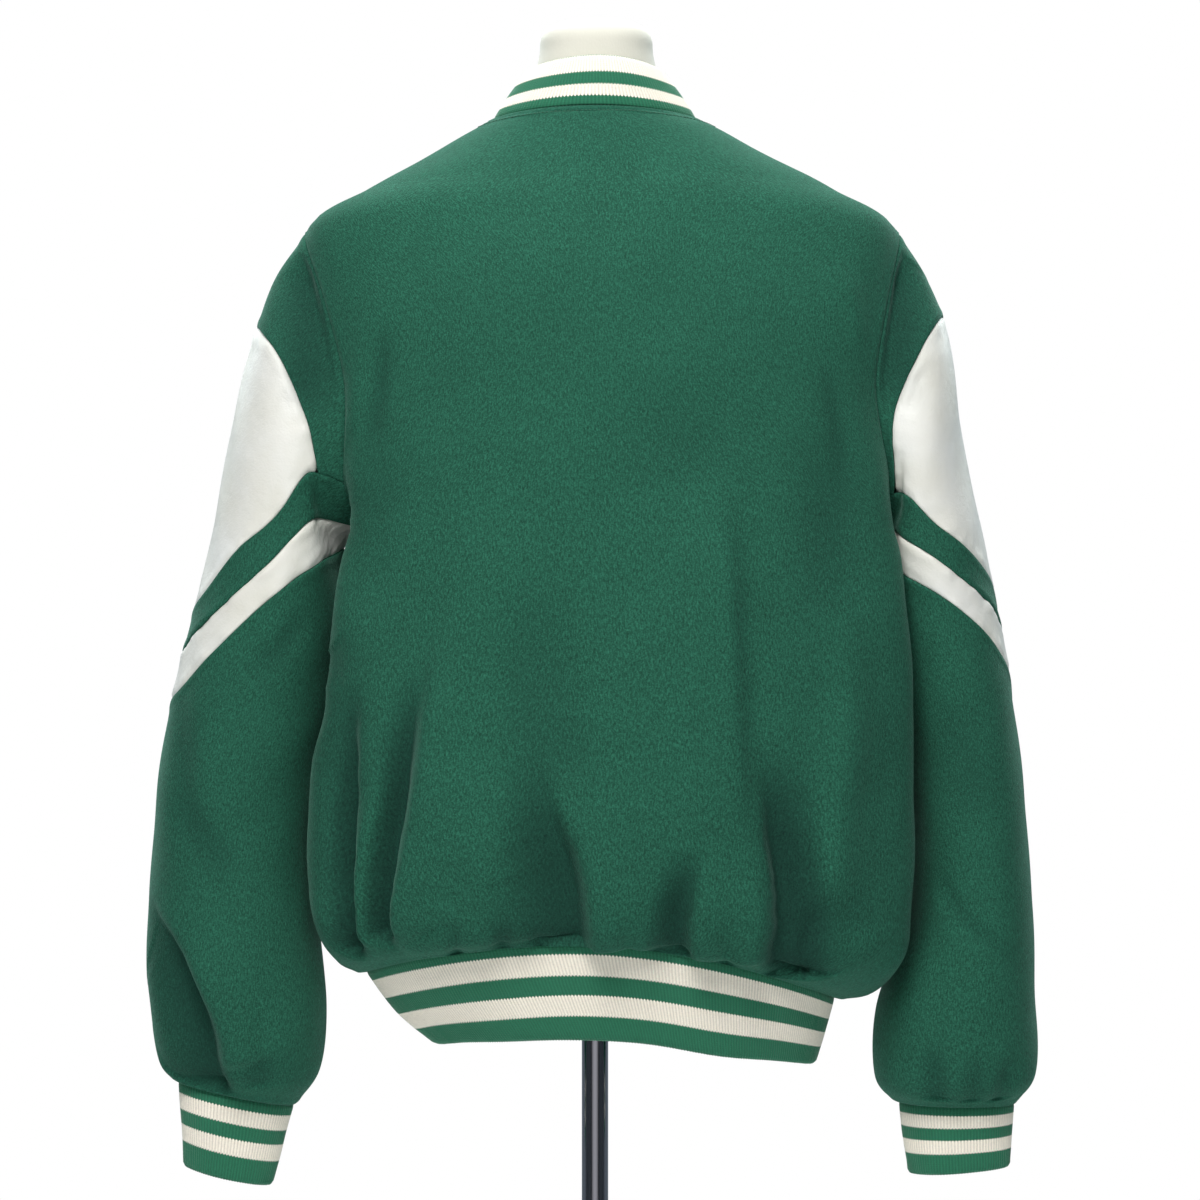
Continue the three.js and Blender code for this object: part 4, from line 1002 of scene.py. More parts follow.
def jersey_knit(rgb):
    """Cotton jersey stretched over a moulded form: matt, with fine upright loops and faint broad
    patches of darker tone at random. The loops are drawn at 1.4 mm."""
    material, tree, shader = material_tree("cotton jersey on form")
    place = node(tree, "ShaderNodeTexCoord")
    stretched = node(tree, "ShaderNodeMapping", {
        "Vector": place.outputs["Object"], "Scale": (1000 / 1.4, 1000 / 1.4, 1000 / 2.6)})
    loops = node(tree, "ShaderNodeTexNoise", {"Vector": stretched.outputs[0], "Scale": 1.0, "Detail": 2.0})
    cloud = node(tree, "ShaderNodeTexNoise", {"Vector": place.outputs["Object"], "Scale": 1000 / 60})
    tone = node(tree, "ShaderNodeValToRGB", {"Fac": cloud.outputs[0]})
    tone.color_ramp.elements[0].color = shade(rgb, 0.92)
    tone.color_ramp.elements[1].color = shade(rgb)
    bump = node(tree, "ShaderNodeBump", {"Height": loops.outputs[0], "Strength": 0.3, "Distance": 0.0004})
    feed(tree, shader, {
        "Base Color": tone.outputs[0], "Roughness": 0.85, "Sheen Weight": 0.2, "Normal": bump.outputs[0]})
    return material


def plated_metal(name, code, roughness, grain):
    """Plated metal: a bright mirror over the polishing marks left beneath it. grain stretches the
    marks along Z on a drawn tube, or leaves them even."""
    material, tree, shader = material_tree(name)
    marks = node(tree, "ShaderNodeMapping", {
        "Vector": node(tree, "ShaderNodeTexCoord").outputs["Object"], "Scale": grain})
    noise = node(tree, "ShaderNodeTexNoise", {"Vector": marks.outputs[0], "Scale": 1.0, "Detail": 3.0})
    gloss = node(tree, "ShaderNodeMapRange", {
        "Value": noise.outputs[0], "From Min": 0.3, "From Max": 0.7,
        "To Min": roughness * 0.7, "To Max": roughness * 1.4})
    bump = node(tree, "ShaderNodeBump", {"Height": noise.outputs[0], "Strength": 0.06, "Distance": 0.0002})
    feed(tree, shader, {
        "Base Color": shade(linear(code)), "Metallic": 1.0, "Roughness": gloss.outputs[0],
        "Normal": bump.outputs[0]})
    return material


# Geometry node trees

def geometry_tree(name, sizes):
    """A tree with a geometry in and out, and a named input for each size."""
    tree = bpy.data.node_groups.new(name, "GeometryNodeTree")
    tree.interface.new_socket("Geometry", in_out="OUTPUT", socket_type="NodeSocketGeometry")
    tree.interface.new_socket("Geometry", in_out="INPUT", socket_type="NodeSocketGeometry")
    for size, kind in sizes.items():
        tree.interface.new_socket(size, in_out="INPUT", socket_type=kind)
    return tree, node(tree, "NodeGroupInput")


def end_tree(tree, geometry, material):
    """Realises what a tree made, gives it its material and puts it out."""
    real = node(tree, "GeometryNodeRealizeInstances", {"Geometry": geometry})
    painted = node(tree, "GeometryNodeSetMaterial", {"Geometry": real.outputs[0], "Material": material})
    node(tree, "NodeGroupOutput", {"Geometry": painted.outputs[0]})


def grown(piece, tree, values):
    """Puts what a tree makes of a piece in its place, as a plain mesh."""
    modifier = piece.modifiers.new("growth", "NODES")
    modifier.node_group = tree
    for item in tree.interface.items_tree:
        if item.in_out == "INPUT" and item.name in values:
            modifier[item.identifier] = values[item.name]
    whole = piece.evaluated_get(bpy.context.evaluated_depsgraph_get())
    mesh = bpy.data.meshes.new_from_object(whole)
    piece.modifiers.remove(modifier)
    old = piece.data
    piece.data = mesh
    mesh.name = piece.name
    bpy.data.meshes.remove(old)
    for name in ("across", "out"):
        if name in mesh.attributes:
            mesh.attributes.remove(mesh.attributes[name])
    return piece


def wale_tree():
    """Raises the wales of a rib knit along the attribute across."""
    tree, given = geometry_tree("rib wales", {
        "Pitch": "NodeSocketFloat", "Depth": "NodeSocketFloat", "Material": "NodeSocketMaterial"})
    across = node(tree, "GeometryNodeInputNamedAttribute", {"Name": "across"}, data_type="FLOAT")
    wale = node(tree, "ShaderNodeMath", {0: across.outputs[0], 1: given.outputs["Pitch"]},
                operation="DIVIDE")
    turn = node(tree, "ShaderNodeMath", {0: wale.outputs[0], 1: 2 * math.pi}, operation="MULTIPLY")
    wave = node(tree, "ShaderNodeMath", {0: turn.outputs[0]}, operation="COSINE")
    uneven = node(tree, "GeometryNodeInputPosition")
    noise = node(tree, "ShaderNodeTexNoise", {"Vector": uneven.outputs[0], "Scale": 160.0, "Detail": 1.0})
    share = node(tree, "ShaderNodeMath", {0: noise.outputs[0], 1: 0.6, 2: 0.4}, operation="MULTIPLY_ADD")
    rise = wave.outputs[0]
    for factor in (given.outputs["Depth"], share.outputs[0]):
        rise = node(tree, "ShaderNodeMath", {0: rise, 1: factor}, operation="MULTIPLY").outputs[0]
    out = node(tree, "ShaderNodeVectorMath", {
        0: node(tree, "GeometryNodeInputNormal").outputs[0], "Scale": rise}, operation="SCALE")
    moved = node(tree, "GeometryNodeSetPosition", {
        "Geometry": given.outputs["Geometry"], "Offset": out.outputs[0]})
    end_tree(tree, moved.outputs[0], given.outputs["Material"])
    return tree


def stitch_tree():
    """Lays a stitch at every step of a line, flat on the cloth whose direction is in out."""
    tree, given = geometry_tree("topstitches", {
        "Length": "NodeSocketFloat", "Thread": "NodeSocketFloat", "Material": "NodeSocketMaterial"})
    line = node(tree, "GeometryNodeMeshToCurve", {"Mesh": given.outputs["Geometry"]})
    steps = node(tree, "GeometryNodeResampleCurve", {
        "Curve": line.outputs[0], "Length": given.outputs["Length"]}, mode="LENGTH")
    out = node(tree, "GeometryNodeInputNamedAttribute", {"Name": "out"}, data_type="FLOAT_VECTOR")
    turn = node(tree, "FunctionNodeAxesToRotation", {
        "Primary Axis": node(tree, "GeometryNodeInputTangent").outputs[0],
        "Secondary Axis": out.outputs[0]}, primary_axis="X", secondary_axis="Z")
    bead = node(tree, "GeometryNodeMeshUVSphere", {"Segments": 7, "Rings": 6, "Radius": 0.5})
    longer = node(tree, "ShaderNodeMath", {0: given.outputs["Length"], 1: 0.86}, operation="MULTIPLY")
    size = node(tree, "ShaderNodeCombineXYZ", {
        0: longer.outputs[0], 1: given.outputs["Thread"], 2: given.outputs["Thread"]})
    laid = node(tree, "GeometryNodeInstanceOnPoints", {
        "Points": steps.outputs[0], "Instance": bead.outputs[0], "Rotation": turn.outputs[0],
        "Scale": size.outputs[0]})
    end_tree(tree, laid.outputs[0], given.outputs["Material"])
    return tree


def snap_tree():
    """Sets a snap cap on each point, facing the way that is in out."""
    tree, given = geometry_tree("snap caps", {
        "Cap": "NodeSocketObject", "Material": "NodeSocketMaterial"})
    cap = node(tree, "GeometryNodeObjectInfo", {"Object": given.outputs["Cap"]})
    out = node(tree, "GeometryNodeInputNamedAttribute", {"Name": "out"}, data_type="FLOAT_VECTOR")
    turn = node(tree, "FunctionNodeAxesToRotation", {
        "Primary Axis": out.outputs[0], "Secondary Axis": (0, 0, 1)}, primary_axis="Z", secondary_axis="X")
    points = node(tree, "GeometryNodeMeshToPoints", {"Mesh": given.outputs["Geometry"]})
    set_down = node(tree, "GeometryNodeInstanceOnPoints", {
        "Points": points.outputs[0], "Instance": cap.outputs["Geometry"], "Rotation": turn.outputs[0]})
    end_tree(tree, set_down.outputs[0], given.outputs["Material"])
    return tree


# Body

def body_rows(step):
    """Rows of the body's panels: level, the sleeve's turn, and 1 on rows that end on an armhole."""
    below = even_levels(body_point, 90 * DEGREE, HEM_SEAM, BELOW_ARMHOLE, step, (True, False))
    above = even_levels(body_point, 90 * DEGREE, ABOVE_ARMHOLE, NECK_SEAM, step, (False, True))
    count = round(ARMHOLE_LENGTH / step)
    share = np.linspace(0, 1, count + 1)
    beside = BELOW_ARMHOLE + (ABOVE_ARMHOLE - BELOW_ARMHOLE) * share
    level = np.concatenate([below[:-1], beside, above[1:]])
    first, last = len(below) - 1, len(above) - 1
    turn = np.concatenate([np.full(first, math.pi), math.pi * (1 - share), np.zeros(last)])
    ends = np.concatenate([np.zeros(first), np.ones(count + 1), np.zeros(last)])
    keep = np.arange(len(level)) != (SPARE_ROW if len(level) % 2 == 0 else -1)
    return level[keep], turn[keep], ends[keep]


def body_grid(panel, step):
    """Points and directions of the back (0) or of a front (LEFT or RIGHT)."""
    level, sleeve_turn, ends = body_rows(step)
    reach = np.where(ends > 0, ARMHOLE_TURN * np.sin(sleeve_turn), 0)
    past = np.arcsin(LAP / 2 / row_at(BODY, level)["half"])
    if panel == 0:
        first, last, width = reach, math.pi - reach, BACK_WIDTH
    elif panel == LEFT:
        first, last, width = -reach, FRONT - past, FRONT_WIDTH
    else:
        first, last, width = math.pi + reach, FRONT + 2 * math.pi + past, FRONT_WIDTH
    share = spaced(width, step)
    turn = first[:, None] + (last - first)[:, None] * share
    levels = np.broadcast_to(level[:, None], turn.shape).copy()
    facing = 1 if panel == 0 else -1
    edges = [(0, LEFT if panel in (0, LEFT) else RIGHT, share)]
    if panel == 0:
        edges.append((-1, RIGHT, 1 - share))
    for _, _, from_edge in edges:
        held = ends[:, None] * (1 - ease(from_edge / ARMHOLE_SHARE))
        levels += (armhole_level(sleeve_turn) - level)[:, None] * held
    points = body_point(turn, levels)
    if panel == LEFT:
        points = points + lap_shift(points[..., 0], levels)
    ways = body_way(turn, levels)
    up, down = run_along(points, 0)
    ways = lean(ways, hem_way(turn[0]), up)
    ways = lean(ways, neck_way(turn[-1]), down)
    runs = run_along(points, 1)
    for column, side, _ in edges:
        seam = np.where(ends[:, None] > 0, armhole_way(side, facing * sleeve_turn), ways[:, column])
        ways = lean(ways, seam[:, None], runs[column] + (1 - ends[:, None]) * FAR)
    return points, ways, up, down, runs, ends


def body_relief(strength):
    """The creases of the body."""
    turns, levels = np.arange(0, 360, 0.5) * DEGREE, np.linspace(0, NECK_SEAM, 420)
    turn, level = np.meshgrid(turns, levels, indexing="ij")
    return Relief(body_point(turn, level), 0, BODY_CREASES, strength)


def make_panel(name, panel, relief, sizes):
    """One panel of the body as a shell, with its points and directions for what is sewn to it."""
    points, ways, up, down, runs, ends = body_grid(panel, sizes.grid / MM)
    from_armhole = np.where(ends[:, None] > 0, runs[0] if panel != 0 else np.minimum(*runs), FAR)
    fade = ease(down / NECK_FADE) * ease(from_armhole / ARMHOLE_FADE)
    # rise lifts the creases; hollow is painted shade in their troughs
    rise, hollow = relief.at(points, ways, up)
    rise = rise * fade
    height = waviness(points, BODY_WAVE) * ease(up / HEM_FADE) * fade
    far_edge = "seam" if panel == 0 else "edge"
    kinds = [("ribbed", up), ("neck", down), ("seam", runs[0]), (far_edge, runs[1])]
    dip = sum(edge_height(distance, kind) for kind, distance in kinds)
    creased = points + level_ways(ways) * rise[..., None]
    piece = cloth_shell(name, creased, ways, height, dip, sizes.wool / MM, False, hollow)
    return piece, creased + ways * (height + dip)[..., None], ways, down, runs


class JACKET_OT_body(bpy.types.Operator):
    """Make the back and the two fronts, with their creases and topstitching"""

    bl_idname = "jacket.body"
    bl_label = "Back and fronts"

    def execute(self, context):
        sizes = context.scene.jacket_sizes
        colours = context.scene.jacket_colours
        wool = melton_wool(tuple(colours.wool))
        relief = body_relief(sizes.crease)
        lines = []
        for name, panel in (("back", 0), ("front_left", LEFT), ("front_right", RIGHT)):
            piece, face, ways, down, runs = make_panel("jacket_" + name, panel, relief, sizes)
            finish_piece(piece, wool, "wool", name)
            row = int(np.argmin(np.abs(down[:, down.shape[1] // 2] - EDGE_KINDS["neck"][4])))
            lines.append((face[row], ways[row]))
            if panel == LEFT:
                column = int(np.argmin(np.abs(runs[1][len(down) // 3] - EDGE_KINDS["edge"][4])))
                lines.append((face[:row, column], ways[:row, column]))
        sew_lines("topstitching", lines, sizes, sewing_thread(tuple(colours.thread)))
        return {"FINISHED"}


def sew_lines(name, lines, sizes, thread):
    """Topstitching along lines of points on the cloth's face."""
    verts, edges, out, count = [], [], [], 0
    for points, ways in lines:
        verts.append((points + ways * STITCH_LIFT) * MM)
        out.append(ways)
        edges += [(count + i, count + i + 1) for i in range(len(points) - 1)]
        count += len(points)
    mesh = bpy.data.meshes.new(name)
    mesh.from_pydata(np.concatenate(verts).tolist(), edges, [])
    outward(mesh, np.concatenate(out))
    piece = placed(name, mesh)
    grown(piece, stitch_tree(), {"Length": sizes.stitch, "Thread": THREAD, "Material": thread})
    piece.data.shade_smooth()
    finish_piece(piece, thread, "thread")


# Sleeves

def sleeve_grid(side, turns, upper, lower, height, step):
    """Points and directions of a piece of sleeve between two edges, and its points' distances to
    its edges and to the two seams where a sleeve ends."""
    share = spaced(height, step)[:, None]
    top, low = upper(turns), lower(turns)
    levels = top + (low - top) * share
    turn = np.broadcast_to(turns, levels.shape)
    points = sleeve_surface(side)(turn, levels)
    ways = sleeve_way(side, turn, levels)
    from_top, from_low = run_along(points, 0)
    at_armhole, at_cuff = top < 1e-6, low > CUFF_SEAM - 1e-6
    from_armhole, from_cuff = from_top + FAR * ~at_armhole, from_low + FAR * ~at_cuff
    ways = lean(ways, armhole_way(side, turns), from_armhole)
    ways = lean(ways, cuff_way(side, turns), from_cuff)
    return points, ways, from_top, from_low, from_armhole, from_cuff


def evenly(length, step):
    """The nearest even count of steps along a length."""
    return 2 * round(length / step / 2)


def turns_across(tip, length, step):
    """Turns of an insert between its two tips, behind and in front."""
    return np.linspace(-tip, tip, evenly(length, step) + 1)


def sleeve_relief(side, strength):
    """The creases of a sleeve."""
    turns, levels = np.arange(0, 360, 1.0) * DEGREE, np.linspace(0, CUFF_SEAM, 400)
    turn, level = np.meshgrid(turns, levels, indexing="ij")
    return Relief(sleeve_surface(side)(turn, level), SLEEVE_MIDDLE, SLEEVE_CREASES[side], strength)


class JACKET_OT_sleeves(bpy.types.Operator):
    """Make the wool and leather pieces of both sleeves"""

    bl_idname = "jacket.sleeves"
    bl_label = "Sleeves"

    def execute(self, context):
        sizes = context.scene.jacket_sizes
        wool = bpy.data.materials["melton wool"]
        leather = cowhide(tuple(context.scene.jacket_colours.hide))
        step = sizes.grid / MM
        for side, side_name in SIDE_NAMES.items():
            relief = sleeve_relief(side, sizes.crease)
            edge = {key: (lambda turn, key=key: insert_edge(side, key, turn)) for key in INSERTS[side]}
            armhole, cuff_seam = (lambda turn: 0 * turn), (lambda turn: 0 * turn + CUFF_SEAM)
            around = np.linspace(0, 2 * math.pi, evenly(SLEEVE_ROUND, step), endpoint=False)
            cap_turns = turns_across(CAP_TIP[side], CAP_ROUND, step)
            leather_turns = turns_across(LEATHER_TIP[side], LEATHER_ROUND, step)
            # name, turns, upper and lower edge, length, kinds of edge, whether it is closed
            pieces = [
                ("cap", cap_turns, armhole, edge["cap"], 110, ("seam", "proud"), False),
                ("leather", leather_turns, edge["cap"], edge["leather"], 180, ("under", "under"), False),
                ("band", around, edge["leather"], edge["band"], 38, ("proud", "proud"), True),
                ("stripe", around, edge["band"], edge["stripe"], 42, ("under", "under"), True),
                ("lower", around, edge["stripe"], cuff_seam, 340, ("proud", "ribbed"), True),
            ]
            for key, turns, upper, lower, length, kinds, closed in pieces:
                points, ways, top, low, from_armhole, from_cuff = sleeve_grid(
                    side, turns, upper, lower, length, step)
                fade = ease(from_armhole / ARMHOLE_FADE)
                # rise lifts the creases; hollow is painted shade in their troughs
                rise, hollow = relief.at(points, ways, from_cuff)
                rise = rise * fade
                height = waviness(points, SLEEVE_WAVE) * (fade * ease(from_cuff / HEM_FADE))
                dip = edge_height(top, kinds[0]) + edge_height(low, kinds[1])
                hide = key in ("leather", "stripe")
                if hide:
                    dip = dip + puckers(points, np.minimum(top, low))
                thick = (sizes.hide if hide else sizes.wool) / MM
                points = points + level_ways(ways) * rise[..., None]
                name = f"sleeve_{side_name}_{key}"
                piece = cloth_shell(name, points, ways, height, dip, thick, closed, hollow)
                slot = "leather" if hide else "wool"
                finish_piece(piece, leather if hide else wool, slot, f"sleeve_{key}_{side_name}")
        return {"FINISHED"}


def puckers(points, distance):
    """Small uneven gathers of leather beside a seam."""
    flow = waviness(points * 5.5, 0.5) + waviness(points[..., ::-1] * 3.1, 0.4)
    return flow * np.exp(-(distance / PUCKER_REACH) ** 2)


# Ribs

def rib_shell(name, points, ways, closed, material, node_name):
    """A strip of rib knit with its wales raised; points run from the wool seam outwards."""
    sizes = bpy.context.scene.jacket_sizes
    top, low = run_along(points, 0)
    rounded = 1 - np.sqrt(1 - np.clip(1 - low / RIB_ROUND_REACH, 0, 1) ** 2)
    dip = -RIB_DIP * np.exp(-(top / RIB_DIP_REACH) ** 2) - RIB_ROUND * rounded
    outer = points + ways * dip[..., None]
    inner = points - ways * (sizes.rib / MM + 0.5 * dip)[..., None]
    joined = np.concatenate([points, points[:, :1]], axis=1) if closed else points
    middle = run_along(joined, 1)[0][len(points) // 2]
    wales = round(middle[-1] * MM / sizes.rib_pitch)
    across = middle / middle[-1] * wales * sizes.rib_pitch
    share = top / (top + low)
    if closed:
        share = np.concatenate([share, share[:, :1]], axis=1)
    uv = np.stack([np.broadcast_to(across, share.shape), share], -1)
    piece = shell(name, outer, inner, closed, uv)
    raise_wales(piece, sizes, material)
    finish_piece(piece, material, "rib", node_name)
    return piece


def raise_wales(piece, sizes, material):
    """Hands the place across the wales to the tree that raises them."""
    mesh = piece.data
    corner_uv = np.zeros(len(mesh.loops) * 2, np.float32)
    mesh.uv_layers["cloth"].data.foreach_get("uv", corner_uv)
    corner_vert = np.zeros(len(mesh.loops), np.int32)
    mesh.loops.foreach_get("vertex_index", corner_vert)
    across = np.zeros(len(mesh.vertices), np.float32)
    across[corner_vert] = corner_uv[0::2]
    mesh.attributes.new("across", "FLOAT", "POINT").data.foreach_set("value", across)
    grown(piece, wale_tree(), {
        "Pitch": sizes.rib_pitch, "Depth": sizes.rib_depth / 2, "Material": material})
    piece.data.shade_smooth()


def turns_round(past, count):
    """Turns from one end of a strip at the centre front round the back to the other."""
    return np.linspace(FRONT - past, FRONT + 2 * math.pi + past, count)


def hem_grid(fine):
    """Points and directions of the hem rib, whose ends lap at the centre front."""
    level = np.linspace(0, RIB_EDGE, HEM_ROWS)
    hem_past = np.arcsin(LAP / 2 / row_at(HEM_RIB, level)["half"])
    turn = np.stack([turns_round(past, evenly(HEM_ROUND, fine) + 1) for past in hem_past])
    level = np.broadcast_to(level[:, None], turn.shape)
    points = strip(HEM_RIB)(turn, level)
    lapped = lap_shift(points[..., 0], 0 * level)
    points = points + lapped * (turn < 0)[..., None]
    ways = normals(strip(HEM_RIB), turn, level, RIB_EDGE, -1)
    ways = lean(ways, hem_way(turn[0]), run_along(points, 0)[0])
    wave = waviness(points * [1, 1, 0.3], HEM_WAVE) * ease(level / RIB_EDGE)
    points = points + ways * wave[..., None]
    place, reach, drop = HEM_SAG
    sag = drop * np.exp(-((points[..., 0] - place) / reach) ** 2) * ease(level / RIB_EDGE)
    sag = sag * (points[..., 1] > 0)
    return points - sag[..., None] * [0, 0, 1], ways


def collar_grid(fine):
    """Points and directions of the collar, whose ends stand a little apart in front."""
    level = np.linspace(0, RIB_EDGE, COLLAR_ROWS)
    gap = -COLLAR_GAP / row_at(COLLAR, level)["half"]
    turn = np.stack([turns_round(past, evenly(COLLAR_ROUND, fine) + 1) for past in gap])
    level = np.broadcast_to(level[:, None], turn.shape)
    points = strip(COLLAR)(turn, level)
    ways = normals(strip(COLLAR), turn, level, RIB_EDGE, 1)
    ways = lean(ways, neck_way(turn[0]), run_along(points, 0)[0])
    wave = waviness(points * 1.5, COLLAR_WAVE) * ease(level / RIB_EDGE)
    return points + ways * wave[..., None], ways


def cuff_grid(side, fine):
    """Points and directions of a cuff, which is closed all round."""
    count = round(CUFF_ROUND / fine / 4) * 4
    turn = np.arange(count) * 2 * math.pi / count
    turn, level = np.meshgrid(turn, np.linspace(0, RIB_EDGE, CUFF_ROWS))
    points = cuff_surface(side)(turn, level)
    ways = normals(cuff_surface(side), turn, level, RIB_EDGE, -side)
    ways = lean(ways, cuff_way(side, turn[0]), run_along(points, 0)[0])
    wave = waviness(points * 1.5, CUFF_WAVE) * ease(level / RIB_EDGE)
    return points + ways * wave[..., None], ways


class JACKET_OT_ribs(bpy.types.Operator):
    """Make the collar, the hem rib and the cuffs of striped rib knit"""

    bl_idname = "jacket.ribs"
    bl_label = "Ribs"

    def execute(self, context):
        sizes = context.scene.jacket_sizes
        colours = context.scene.jacket_colours
        ground, stripe = tuple(colours.knit), tuple(colours.stripe)
        fine = sizes.rib_pitch / MM / 4

        points, ways = hem_grid(fine)
        knit = rib_knit("striped rib knit, hem", ground, stripe, HEM_BANDS, HEM_HEIGHT)
        piece = rib_shell("rib_hem", points, ways, False, knit, "hem_rib")

        points, ways = collar_grid(fine)
        knit = rib_knit("striped rib knit, collar", ground, stripe, COLLAR_BANDS, COLLAR_HEIGHT)
        piece = rib_shell("rib_collar", points, ways, False, knit, "collar")

        knit = rib_knit("striped rib knit, cuffs", ground, stripe, CUFF_BANDS, CUFF_HEIGHT)
        for side, side_name in SIDE_NAMES.items():
            points, ways = cuff_grid(side, fine)
            name = "cuff_" + side_name
            piece = rib_shell("rib_" + name, points, ways, True, knit, name)
        return {"FINISHED"}


# Snaps, form and stand

def turned(name, profile, segments):
    """A turned piece about Z from a profile of radius and height, in metres."""
    work = bmesh.new()
    spots = [work.verts.new((radius, 0, high)) for radius, high in profile]
    lines = [work.edges.new(pair) for pair in zip(spots[:-1], spots[1:])]
    bmesh.ops.spin(work, geom=spots + lines, cent=(0, 0, 0), axis=(0, 0, 1), steps=segments,
                   angle=2 * math.pi, use_merge=True)
    bmesh.ops.remove_doubles(work, verts=work.verts, dist=1e-6)
    bmesh.ops.recalc_face_normals(work, faces=work.faces)
    if work.calc_volume(signed=True) < 0:
        bmesh.ops.reverse_faces(work, faces=work.faces)
    mesh = bpy.data.meshes.new(name)
    work.to_mesh(mesh)
    work.free()
    mesh.shade_smooth()
    mesh.set_sharp_from_angle(angle=35 * DEGREE)
    return placed(name, mesh)


def arc(centre, radius, start, end, steps):
    """Points of an arc in a profile, in degrees."""
    angles = np.radians(np.linspace(start, end, steps))
    return [(centre[0] + radius * math.cos(a), centre[1] + radius * math.sin(a)) for a in angles]


def snap_profile():
    """Half section of a ring-spring snap cap: a rolled rim, a shallow well and a low crown."""
    radius, high, roll = SNAP_RADIUS * MM, SNAP_HEIGHT * MM, SNAP_ROLL * MM
    rolled = arc((radius - roll, roll), roll, -90, 110, 9)
    well = [(radius * 0.74, high * 0.5), (radius * 0.68, high * 0.46)]
    crown = [(radius * 0.66 * math.cos(a), high * (0.46 + 0.54 * math.sin(a)))
             for a in np.linspace(0.12, math.pi / 2 - 0.05, 8)]
    return [(0, 0), *rolled, *well, *crown, (0, high)]


def snap_places():
    """Foot and outward direction of each snap, from its own solid."""
    feet, out = [], []
    for name in SNAP_NODES:
        points = np.array([v.co[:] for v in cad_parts[name].data.vertices])
        way = np.linalg.svd(points - points.mean(0))[2][-1]
        way = way if way[1] < 0 else -way
        along = points @ way
        disc = points[along < along.min() + 0.2 * MM]
        feet.append((disc.min(0) + disc.max(0)) / 2)
        out.append(way)
    return np.array(feet), np.array(out)


class JACKET_OT_snaps(bpy.types.Operator):
    """Set the snap caps down the front"""

    bl_idname = "jacket.snaps"
    bl_label = "Snaps"

    def execute(self, context):
        nickel = plated_metal("nickel-plated brass", "#C9C7C0", 0.2, (900, 900, 900))
        cap = turned("snap_cap", snap_profile(), 40)
        feet, out = snap_places()
        mesh = bpy.data.meshes.new("snaps")
        mesh.from_pydata(feet.tolist(), [], [])
        outward(mesh, out)
        piece = placed("snaps", mesh)
        grown(piece, snap_tree(), {"Cap": cap, "Material": nickel})
        bpy.data.objects.remove(cap)
        finish_piece(piece, nickel, "snap", *SNAP_NODES)
        return {"FINISHED"}


def form_rings(count):
    """Rings of the dress form from its floor up to the rounded top of its neck."""
    turn = np.linspace(0, 2 * math.pi, count, endpoint=False)
    oval = [ring_point({key: column[i] for key, column in rows.items()}, turn)
            for rows in (FORM_TRUNK, FORM_NECK) for i in range(len(rows["back"]))]
    trunk, neck = oval[:len(FORM_TRUNK["back"])], oval[len(FORM_TRUNK["back"]):]
    wool = bpy.context.scene.jacket_sizes.wool / MM
    shoulders = []
    for level, clear in FORM_SHOULDERS:
        levels = np.full(count, level)
        shoulders.append(body_point(turn, levels) - body_way(turn, levels) * (wool + clear))
    floor = trunk[0].copy()
    floor[:, 2] = FORM_FLOOR
    return np.array([floor, *trunk, *shoulders, *neck])


class JACKET_OT_form(bpy.types.Operator):
    """Make the limbless dress form that the jacket hangs on"""

    bl_idname = "jacket.form"
    bl_label = "Dress form"

    def execute(self, context):
        count = 144
        rings = form_rings(count)
        levels = np.linspace(0, len(rings) - 1, 4 * (len(rings) - 1) + 1)
        fine = between(rings, levels)
        verts = [*fine.reshape(-1, 3), fine[0].mean(0), fine[-1].mean(0)]
        faces, top = [], len(levels) - 1
        for r in range(top):
            for c in range(count):
                n = (c + 1) % count
                faces.append((r * count + c, r * count + n, (r + 1) * count + n, (r + 1) * count + c))
        low, high = len(verts) - 2, len(verts) - 1
        for c in range(count):
            n = (c + 1) % count
            faces.append((low, n, c))
            faces.append((high, top * count + c, top * count + n))
        mesh = bpy.data.meshes.new("form_torso")
        mesh.from_pydata((np.array(verts) * MM).tolist(), [], faces)
        mesh.shade_smooth()
        mesh.set_sharp_from_angle(angle=50 * DEGREE)
        piece = placed("form_torso", mesh)
        jersey = jersey_knit(tuple(context.scene.jacket_colours.jersey))
        finish_piece(piece, jersey, "form", "form")
        return {"FINISHED"}


class JACKET_OT_stand(bpy.types.Operator):
    """Make the pole and the round base"""

    bl_idname = "jacket.stand"
    bl_label = "Pole and base"

    def execute(self, context):
        low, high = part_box("pole")
        radius = (high.x - low.x) / 2
        pole = turned("stand_pole", [(0, low.z), (radius, low.z), (radius, high.z), (0, high.z)], 96)
        chrome = plated_metal("chromed steel tube", "#8E8E95", 0.12, (2400, 2400, 25))
        finish_piece(pole, chrome, "tube", "pole")
        low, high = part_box("base")
        radius, rim = high.x, 2 * MM
        socket = 16 * MM
        rounded = arc((radius - rim, high.z - rim), rim, 0, 90, 6)
        foot = arc((radius - MM, MM), MM, -90, 0, 4)
        profile = [(0, low.z), *foot, *rounded, (socket, high.z), (0, high.z)]
        base = turned("stand_base", profile, 160)
        satin = plated_metal("satin chromed steel", "#9A9AA0", 0.3, (700, 700, 700))
        finish_piece(base, satin, "base", "base")
        return {"FINISHED"}


# Stage

CAMERA_PLACE, SENSOR_WIDTH, FOCAL_LENGTH = (-0.0036, 3.0, 1.12), 36, 125
CHEST = (0, 0, 1.15)
